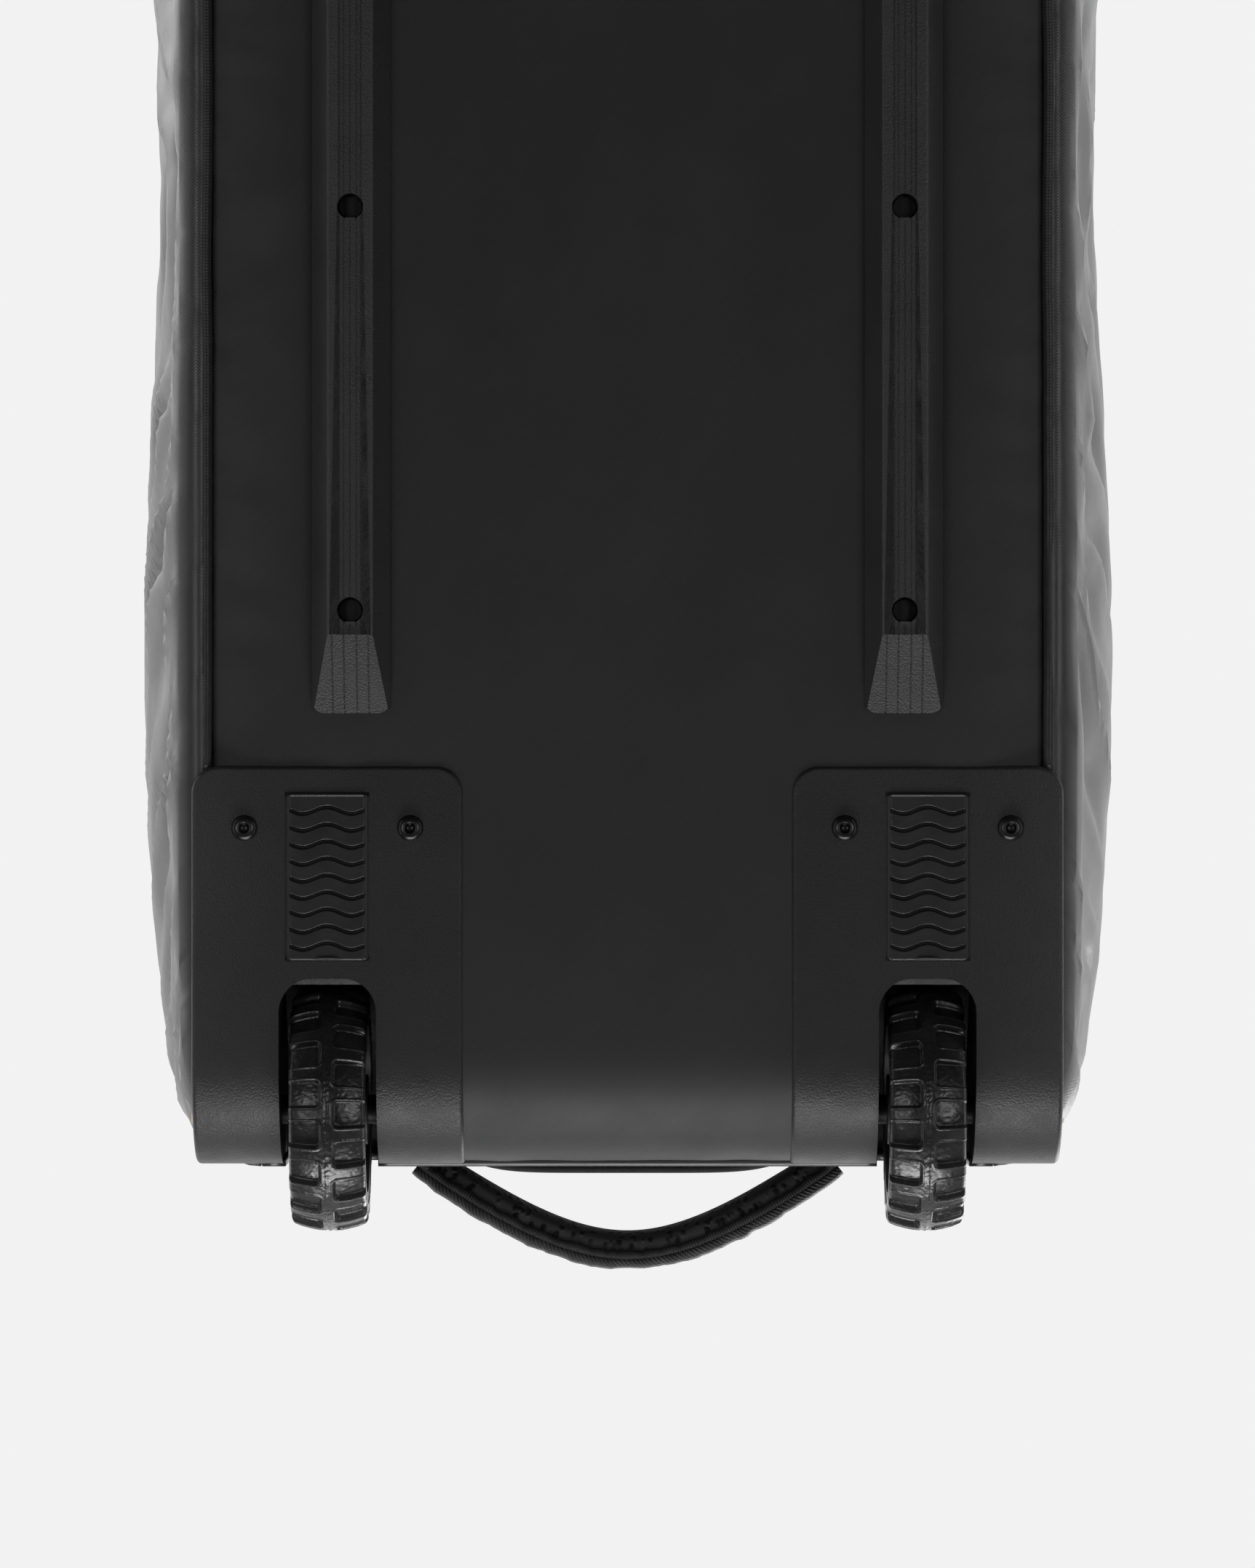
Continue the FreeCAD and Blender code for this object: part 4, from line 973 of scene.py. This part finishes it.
for name, node, middle, half, sewn_at, coil_at, reach, body in (
        ("body_zip_tape", "body_zip_half", 3.2, 3.2, 1.6, 5.4, 1.0, "bag"),
        ("lid_zip_tape", "lid_zip_half", 12.4, 4.7, 12.5, 8.6, -1.0, "lid")):
    tape = sweep(name, zip_path(middle, 297.5), flat_section(half, 0.45), M["tape"])
    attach(tape, body)
    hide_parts(node)
    zip_teeth(name.replace("tape", "teeth"), coil_at, reach, body)
    stitches(name.replace("tape", "stitches"), zip_path(sewn_at, 298.1), 3.2, 0.28, M["thread"],
             body)

# ---------------------------------------------------------------- piping
for side, s in SIDES:
    low, high = node_box(side + "_piping")
    ys = np.arange(low[1] - 3, high[1] + 0.1, 5.0)
    x = 0.5 * (low[0] + high[0])
    z = 0.5 * (low[2] + high[2])
    wobble = noise_field(np.stack([ys, np.zeros_like(ys), np.full_like(ys, 5 * s)], -1), 70.0, 61, 2)
    line = np.stack([x + 0.5 * wobble, ys, z + 0.3 * wobble[::-1]], -1)
    cordline = sweep(side + "_piping_cover", line, circle(2.5, 14), M["piping"])
    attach(cordline, "bag")
    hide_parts(side + "_piping")
    line2 = line + np.array([s * 3.6, 0, 2.0])
    seam = sweep(side + "_piping_flange", line2, circle(1.25, 8), M["piping"])
    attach(seam, "bag")


# ---------------------------------------------------------------- tyres
def tyre_mesh(side, s):
    pockets, band, pocket_half, depth = 18, 2.65, 5.6, 3.0
    half = 0.5 * (tyre_high[0] - tyre_low[0])
    crown = 3.5
    crown_r = (half ** 2 + crown ** 2) / (2 * crown)
    around = 48 * pockets
    round_r = 1.6
    flat_half = half - round_r
    xs = np.concatenate([np.linspace(-half, -flat_half, 6)[:-1], np.linspace(-flat_half, flat_half, 60),
                         np.linspace(flat_half, half, 6)[1:]])
    theta = np.arange(around) * 2 * math.pi / around
    tt, xx = np.meshgrid(theta, xs, indexing="ij")
    surface = WHEEL_R - crown_r + np.sqrt(crown_r ** 2 - xx ** 2)
    shoulder = np.maximum(round_r - (half - np.abs(xx)), 0.0)
    surface -= round_r - np.sqrt(np.maximum(0.0, round_r ** 2 - shoulder ** 2))
    cut = np.zeros_like(xx)
    lip = np.zeros_like(xx)
    for row, shift in ((-1.0, 0.0), (1.0, 0.5)):
        turn = (tt + 0.5 * math.pi) * pockets / (2 * math.pi) - shift
        local = (turn - np.round(turn)) * 2 * math.pi * WHEEL_R / pockets
        side_x = row * xx
        qx = np.maximum(band + 2.2 - side_x, 0.0)
        qy = np.maximum(np.abs(local) - (pocket_half - 2.2), 0.0)
        distance = np.hypot(qx, qy) - 2.2
        inside = rise(0.25 - distance, 0.0, 0.7)
        cut = np.maximum(cut, inside * (side_x > 0))
        lip = np.maximum(lip, np.exp(-((distance - 0.6) / 0.4) ** 2) * (side_x > 0.5))
    skin = np.stack([xx, 50 * np.cos(tt), 50 * np.sin(tt)], -1).reshape(-1, 3)
    grain = noise_field(skin, 1.6, 71, 2).reshape(xx.shape)
    radius = surface - depth * cut + 0.34 * lip + 0.09 * grain
    seam = np.exp(-(xx / 0.7) ** 2)
    radius += seam * (0.22 + 0.3 * np.maximum(0.0, grain))
    inner = 39.0
    wall = np.array([0.66, 0.33, 0.0])
    left = [np.stack([np.full(around, -half), inner + (radius[:, 0] - inner) * w], -1)
            for w in wall[::-1]]
    right = [np.stack([np.full(around, half), inner + (radius[:, -1] - inner) * w], -1)
             for w in wall]
    columns = left + [np.stack([xx[:, k], radius[:, k]], -1) for k in range(xx.shape[1])] + right
    grid = np.array(columns)
    x = s * WHEEL_X + grid[:, :, 0]
    y = WHEEL_Y + grid[:, :, 1] * np.cos(theta)[None, :]
    z = WHEEL_Z + grid[:, :, 1] * np.sin(theta)[None, :]
    points = np.stack([x, y, z], -1)
    count = len(columns)
    faces = grid_faces(count, around, wrap_cols=True, flip=True)
    last = (count - 1) * around
    for j in range(around):
        k = (j + 1) % around
        faces.append([j, k, last + k, last + j])
    return make_object(side + "_tyre_tread", points.reshape(-1, 3), faces, M["tyre"])


for side, s in SIDES:
    tyre = tyre_mesh(side, s)
    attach(tyre, side + "_wheel")
    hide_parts(side + "_tyre")


# ---------------------------------------------------------------- scuff pads
def pad_mesh(side):
    """Rubber plate with a raised rim and nine waved steps like overlapping scales."""
    low, high = node_box(side + "_scuff_pad")
    middle = 0.5 * (low + high)
    half_x, half_y = 0.5 * (high[0] - low[0]), 0.5 * (high[1] - low[1])
    xs = np.linspace(-half_x, half_x, 88)
    ys = np.linspace(-half_y, half_y, 190)
    xx, yy = np.meshgrid(xs, ys, indexing="ij")
    corner = 2.6
    qx = np.abs(xx) - half_x + corner
    qy = np.abs(yy) - half_y + corner
    out = np.hypot(np.maximum(qx, 0), np.maximum(qy, 0))
    inset = corner - out - np.minimum(np.maximum(qx, qy), 0)
    pull = np.where(out > corner, corner / np.maximum(out, 1e-6), 1.0)
    in_corner = (qx > 0) & (qy > 0)
    xx = np.where(in_corner, np.sign(xx) * (half_x - corner + np.maximum(qx, 0) * pull), xx)
    yy = np.where(in_corner, np.sign(yy) * (half_y - corner + np.maximum(qy, 0) * pull), yy)
    inset = np.maximum(inset, 0.0)
    pitch = 6.96
    wave = 1.35 * np.cos(2 * math.pi * xx / 20.0)
    fall = (half_y - 7.6 + wave - yy) / pitch
    count = np.clip(np.round(fall), 0, 8)
    gap = np.abs(fall - count) * pitch
    below = np.clip(fall - count, 0.0, 1.0)
    across = rise(15.6 - np.abs(xx), 0.0, 0.9)
    groove = 0.95 * (1.0 - rise(gap, 0.35, 0.85)) * across
    lip = 0.55 * np.exp(-below * pitch / 2.2) * (fall >= count) * rise(gap, 0.3, 0.8) * across
    rim = 0.62 * np.exp(-((inset - 1.15) / 0.55) ** 2)
    rounded = 0.7 * (1.0 - rise(inset, 0.0, 0.8))
    height = 0.65 + groove - lip + rounded - rim * (lip < 0.05)
    zz = low[2] + np.clip(height, 0.0, 1.9)
    points = np.stack([middle[0] + xx, middle[1] + yy, zz], -1)
    rows, cols = xx.shape
    ring = [(i, 0) for i in range(rows)] + [(rows - 1, j) for j in range(1, cols)]
    ring += [(i, cols - 1) for i in range(rows - 2, -1, -1)] + [(0, j) for j in range(cols - 2, 0, -1)]
    faces = grid_faces(rows, cols)
    verts = list(points.reshape(-1, 3))
    first = len(verts)
    for i, j in ring:
        x, y, z = points[i, j]
        verts.append((x, y, low[2] + 2.1))
    edge = [i * cols + j for i, j in ring]
    for k in range(len(ring)):
        n = (k + 1) % len(ring)
        faces.append([edge[k], edge[n], first + n, first + k][::-1])
    faces.append([first + k for k in range(len(ring))])
    return make_object(side + "_pad_face", verts, faces, M["pad"])


for side, s in SIDES:
    pad = pad_mesh(side)
    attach(pad, "bag")
    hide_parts(side + "_scuff_pad")


# ---------------------------------------------------------------- screws of the housings
def turned(name, centre, axis, profile, material, count=28):
    """Solid of revolution from (radius, height) pairs; axis is the way the height grows."""
    axis = np.asarray(axis, float)
    a = np.cross(axis, (0.3, 0.9, 0.2))
    a /= np.linalg.norm(a)
    b = np.cross(axis, a)
    verts = []
    for r, h in profile:
        for k in range(count):
            t = 2 * math.pi * k / count
            verts.append(np.asarray(centre) + axis * h + r * (math.cos(t) * a + math.sin(t) * b))
    faces = grid_faces(len(profile), count, wrap_cols=True)
    faces.append(list(range(count))[::-1])
    faces.append([(len(profile) - 1) * count + k for k in range(count)])
    return make_object(name, verts, faces, material)


housing_low = node_box("right_wheel_housing")[0]
SCREW_PROFILE = [(5.0, -0.4), (5.35, 0.1), (5.2, 0.9), (4.7, 1.7), (3.8, 2.35), (2.7, 2.6),
                 (2.25, 2.55), (2.1, 2.2), (2.0, 1.0), (0.6, 0.8)]
screws = []
for side, s in SIDES:
    for dx in (-34.0, 34.0):
        x = s * WHEEL_X + dx
        for spot, (centre, axis) in (("base", ((x, -273.0, housing_low[2]), (0, 0, -1))),
                                     ("end", ((x, housing_low[1], 112.0), (0, -1, 0)))):
            name = "%s_%s_screw_%s" % (side, spot, "in" if dx * s < 0 else "out")
            screws.append(turned(name, centre, axis, SCREW_PROFILE, M["black_metal"]))
for screw in screws:
    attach(screw, "bag")
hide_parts("housing_screws")


# ---------------------------------------------------------------- end grab handles
def grab_handle(name, node, body, out, z):
    """Bowed padded sleeve with bound edges, on webbing sewn to the end panel."""
    low, high = node_box(node + "_sleeve")
    crest_y = abs(high[1] if out > 0 else low[1])
    reach = 93.0
    bow, steep = 57.9, 0.85

    def arc_point(t, inset):
        """t from -1 to 1 along the sleeve, inset from its outer face: straight legs, round middle."""
        x = t * reach
        root = math.hypot(bow, steep * x)
        slope = steep ** 2 * x / root
        size = math.hypot(1.0, slope)
        return np.array([x - inset * slope / size, out * (crest_y - (root - bow) - inset / size), z])

    def off_face(x, y, dz=0.0):
        """A point y outside the end face."""
        return np.array([s * x, out * (HALF_LEN + y), z + dz])

    count = 90
    steps = np.linspace(-1, 1, count)
    squeeze = 1.0 - 0.2 * np.abs(steps) ** 10
    gather = noise_field(np.stack([steps * 40, np.zeros(count), np.full(count, 3.0)], -1), 3.0, 81, 2)
    narrow = 1.0 - 0.5 * np.abs(steps) ** 5
    pad_sections = [rounded_section(5.6 * k, 17.2 * n, 3.2, 32) for k, n in zip(squeeze, narrow)]
    pad = sweep(name + "_pad", [arc_point(t, 10.8) for t in steps], pad_sections, M["mesh"])
    cover_sections = [rounded_section(3.6 * k * (1 + 0.10 * g), 18.4 * n * (1 + 0.02 * g), 3.0, 32)
                      for k, n, g in zip(squeeze, narrow, gather)]
    cover = sweep(name + "_cover", [arc_point(t, 3.8 - 0.5 * g) for t, g in zip(steps, gather)],
                  cover_sections, M["herringbone"])
    for piece, slot in ((pad, "handle_pad"), (cover, "webbing")):
        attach(piece, body)
    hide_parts(node + "_sleeve")
    for edge, dz in (("lower", -1.0), ("upper", 1.0)):
        welt = noise_field(np.stack([steps * 60, np.full(count, dz), np.zeros(count)], -1), 2.4, 83, 2)
        line = [arc_point(t, 7.0 + 0.6 * g) + np.array([0, 0, dz * (17.2 * n - 0.6 + 0.3 * g)])
                for t, g, n in zip(steps, welt, narrow)]
        rings = [circle(2.1 * k * (1 + 0.12 * g), 12) for k, g in zip(squeeze, welt)]
        tube = sweep("%s_%s_binding" % (name, edge), line, rings, M["binding"])
        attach(tube, body)
        if edge == "lower":
            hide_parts(node + "_webbing")
    for side, s in SIDES:
        path = [arc_point(s * 0.93, 7.5), arc_point(s * 0.99, 7.5), off_face(99.0, 6.0),
                off_face(104.0, 3.6), off_face(110.0, 3.1), off_face(122.0, 2.7)]
        strap = sweep("%s_root_%s" % (name, side), resample(path, 2.0),
                      rounded_section(1.3, 11.5, 6.0, 24), M["webbing"])
        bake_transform(strap)
        tab = sweep("%s_tab_%s" % (name, side), resample([off_face(100.0, 1.9), off_face(128.0, 1.7)], 2.0),
                    rounded_section(1.2, 14.0, 6.0, 24), M["webbing"])
        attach(tab, "bag")
        if name == "wheel_handle" and side == "left":
            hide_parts("handle_tabs")
        box_line = [off_face(x, 4.3, dz)
                    for x, dz in ((107.0, -8.5), (120.0, -8.5), (120.0, 8.5), (107.0, 8.5))]
        stitches("%s_stitch_%s" % (name, side), box_line, 2.6, 0.3, M["thread"], "bag",
                 up=(0.0, out, 0.0), closed=True)
        stitches("%s_cross_%s" % (name, side), [box_line[0], box_line[2]], 2.6, 0.3, M["thread"], "bag",
                 up=(0.0, out, 0.0))


grab_handle("wheel_handle", "wheel_end_handle", "wheel_end_handle", -1.0, 150.0)
grab_handle("tow_handle", "tow_end_handle", "tow_end_handle", 1.0, 190.0)

# ---------------------------------------------------------------- card pocket
low, high = node_box("card_pocket")
xs = np.linspace(low[0] - 0.5, high[0] + 0.5, 50)
zs = np.linspace(low[2], high[2], 24)
POCKET_BOW, POCKET_HALF = 3.6, 62.0
pts = np.array([[(x, low[1] + 0.8 - POCKET_BOW * (1.0 - abs(x / POCKET_HALF) ** 6), z) for z in zs]
                for x in xs])
pocket = grid_object("card_pocket_cover", pts, M["side"], flip=True)
thicken(pocket, 1.2)
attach(pocket, "bag")
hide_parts("card_pocket")
frame_line = [(x, low[1] + 0.4, z) for x, z in ((low[0], low[2]), (high[0], low[2]), (high[0], high[2]),
                                                (low[0], high[2]), (low[0], low[2]))]
dense = resample(frame_line, 3.0)[:-1]
dense[:, 1] -= POCKET_BOW * (1.0 - np.abs(dense[:, 0] / POCKET_HALF) ** 6)
binding = sweep("card_pocket_binding", dense, circle(1.9, 12), M["binding"], closed_path=True,
                up=(0.0, 1.0, 0.0))
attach(binding, "bag")

# ---------------------------------------------------------------- ball tray
low, high = node_box("foam_ball_tray")
SHOULDER, CUP_R, CUP_Z = 125, 112.0, 167.0
xs = np.concatenate([np.linspace(-190, -127, 12), np.linspace(-SHOULDER, SHOULDER, 64),
                     np.linspace(127, 190, 12)])
ys = np.linspace(low[1] + 2, high[1] - 2, 190)


def tray_top(x, y):
    z = high[2] if abs(x) <= SHOULDER else 60.0
    for middle in (-250.0, 0.0, 250.0):
        away = x * x + (y - middle) ** 2
        if away < CUP_R ** 2:
            z = min(z, CUP_Z - math.sqrt(CUP_R ** 2 - away))
    return z


pts = np.array([[(x, y, tray_top(x, y)) for x in xs] for y in ys])


def tray_hidden(i, j):
    x, y, _ = cell_middle(pts, i, j)
    if abs(abs(x) - WHEEL_X) < 26.0 and y < -332.0:
        return True
    bend = max(0.0, abs(y) - 365.0)
    return abs(x) > 182.0 or abs(x) > 143.0 + math.sqrt(max(0.0, 39.0 ** 2 - bend ** 2))


tray = grid_object("ball_tray", pts, M["foam"], flip=True, skip=tray_hidden)
thicken(tray, 7.0)
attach(tray, "bag")
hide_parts("foam_ball_tray")

# ---------------------------------------------------------------- carried-over CAD nodes
FINISH = {
    "housing": ["left_wheel_housing", "right_wheel_housing"],
    "pad": ["left_scuff_pad", "right_scuff_pad"],
    "rail": ["left_skid_rail", "right_skid_rail"],
    "core": ["left_wheel_core", "right_wheel_core"],
    "black_metal": ["rail_screws"],
    "axle": ["axle_spacers", "left_axle", "right_axle"],
    "steel": ["rail_nuts", "housing_nuts", "left_bearings", "right_bearings"],
    "tube": ["left_outer_tube", "right_outer_tube", "left_stage_1_tube", "right_stage_1_tube",
             "left_stage_2_tube", "right_stage_2_tube", "release_rods"],
    "gunmetal": ["tow_zip_slider", "wheel_zip_slider", "tow_zip_pull", "wheel_zip_pull"],
    "plastic": ["tow_bezel", "tow_grip", "tube_clamps", "stage_1_guides", "stage_2_guides",
                "stage_1_ferrules"],
    "button": ["release_button"],
    "board": ["base_board"],
    "wood": ["floor_battens", "false_floor"],
}
for key, names in FINISH.items():
    for name in names:
        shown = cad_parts[name]
        shown.data.materials.clear()
        shown.data.materials.append(M[key])
for name in FINISH["plastic"] + FINISH["button"] + FINISH["core"]:
    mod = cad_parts[name].modifiers.new("edge", "BEVEL")
    mod.width = 0.5 * MM
    mod.segments = 2
    mod.limit_method = "ANGLE"
    mod.angle_limit = math.radians(40)
    mod.harden_normals = False

# ---------------------------------------------------------------- floor
pale = bpy.data.materials.new("pale_floor")
pale.use_nodes = True
ft = pale.node_tree
ft.nodes["Principled BSDF"].inputs["Base Color"].default_value = (0.80, 0.80, 0.80, 1.0)
ft.nodes["Principled BSDF"].inputs["Roughness"].default_value = 0.6
clear = ft.nodes.new("ShaderNodeBsdfTransparent")
back = ft.nodes.new("ShaderNodeNewGeometry")
rays = ft.nodes.new("ShaderNodeLightPath")
mix = ft.nodes.new("ShaderNodeMixShader")
seen = back.outputs["Backfacing"]
for ray in ("Is Shadow Ray", "Is Glossy Ray"):
    either = ft.nodes.new("ShaderNodeMath")
    either.operation = "MAXIMUM"
    ft.links.new(seen, either.inputs[0])
    ft.links.new(rays.outputs[ray], either.inputs[1])
    seen = either.outputs[0]
ft.links.new(seen, mix.inputs[0])
ft.links.new(ft.nodes["Principled BSDF"].outputs[0], mix.inputs[1])
ft.links.new(clear.outputs[0], mix.inputs[2])
ft.links.new(mix.outputs[0], ft.nodes["Material Output"].inputs["Surface"])
corners = [(-9000, -9000, 0), (9000, -9000, 0), (9000, 9000, 0), (-9000, 9000, 0)]
floor = make_object("floor", corners, [[0, 1, 2, 3]], pale)
floor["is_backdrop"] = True

low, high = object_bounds()
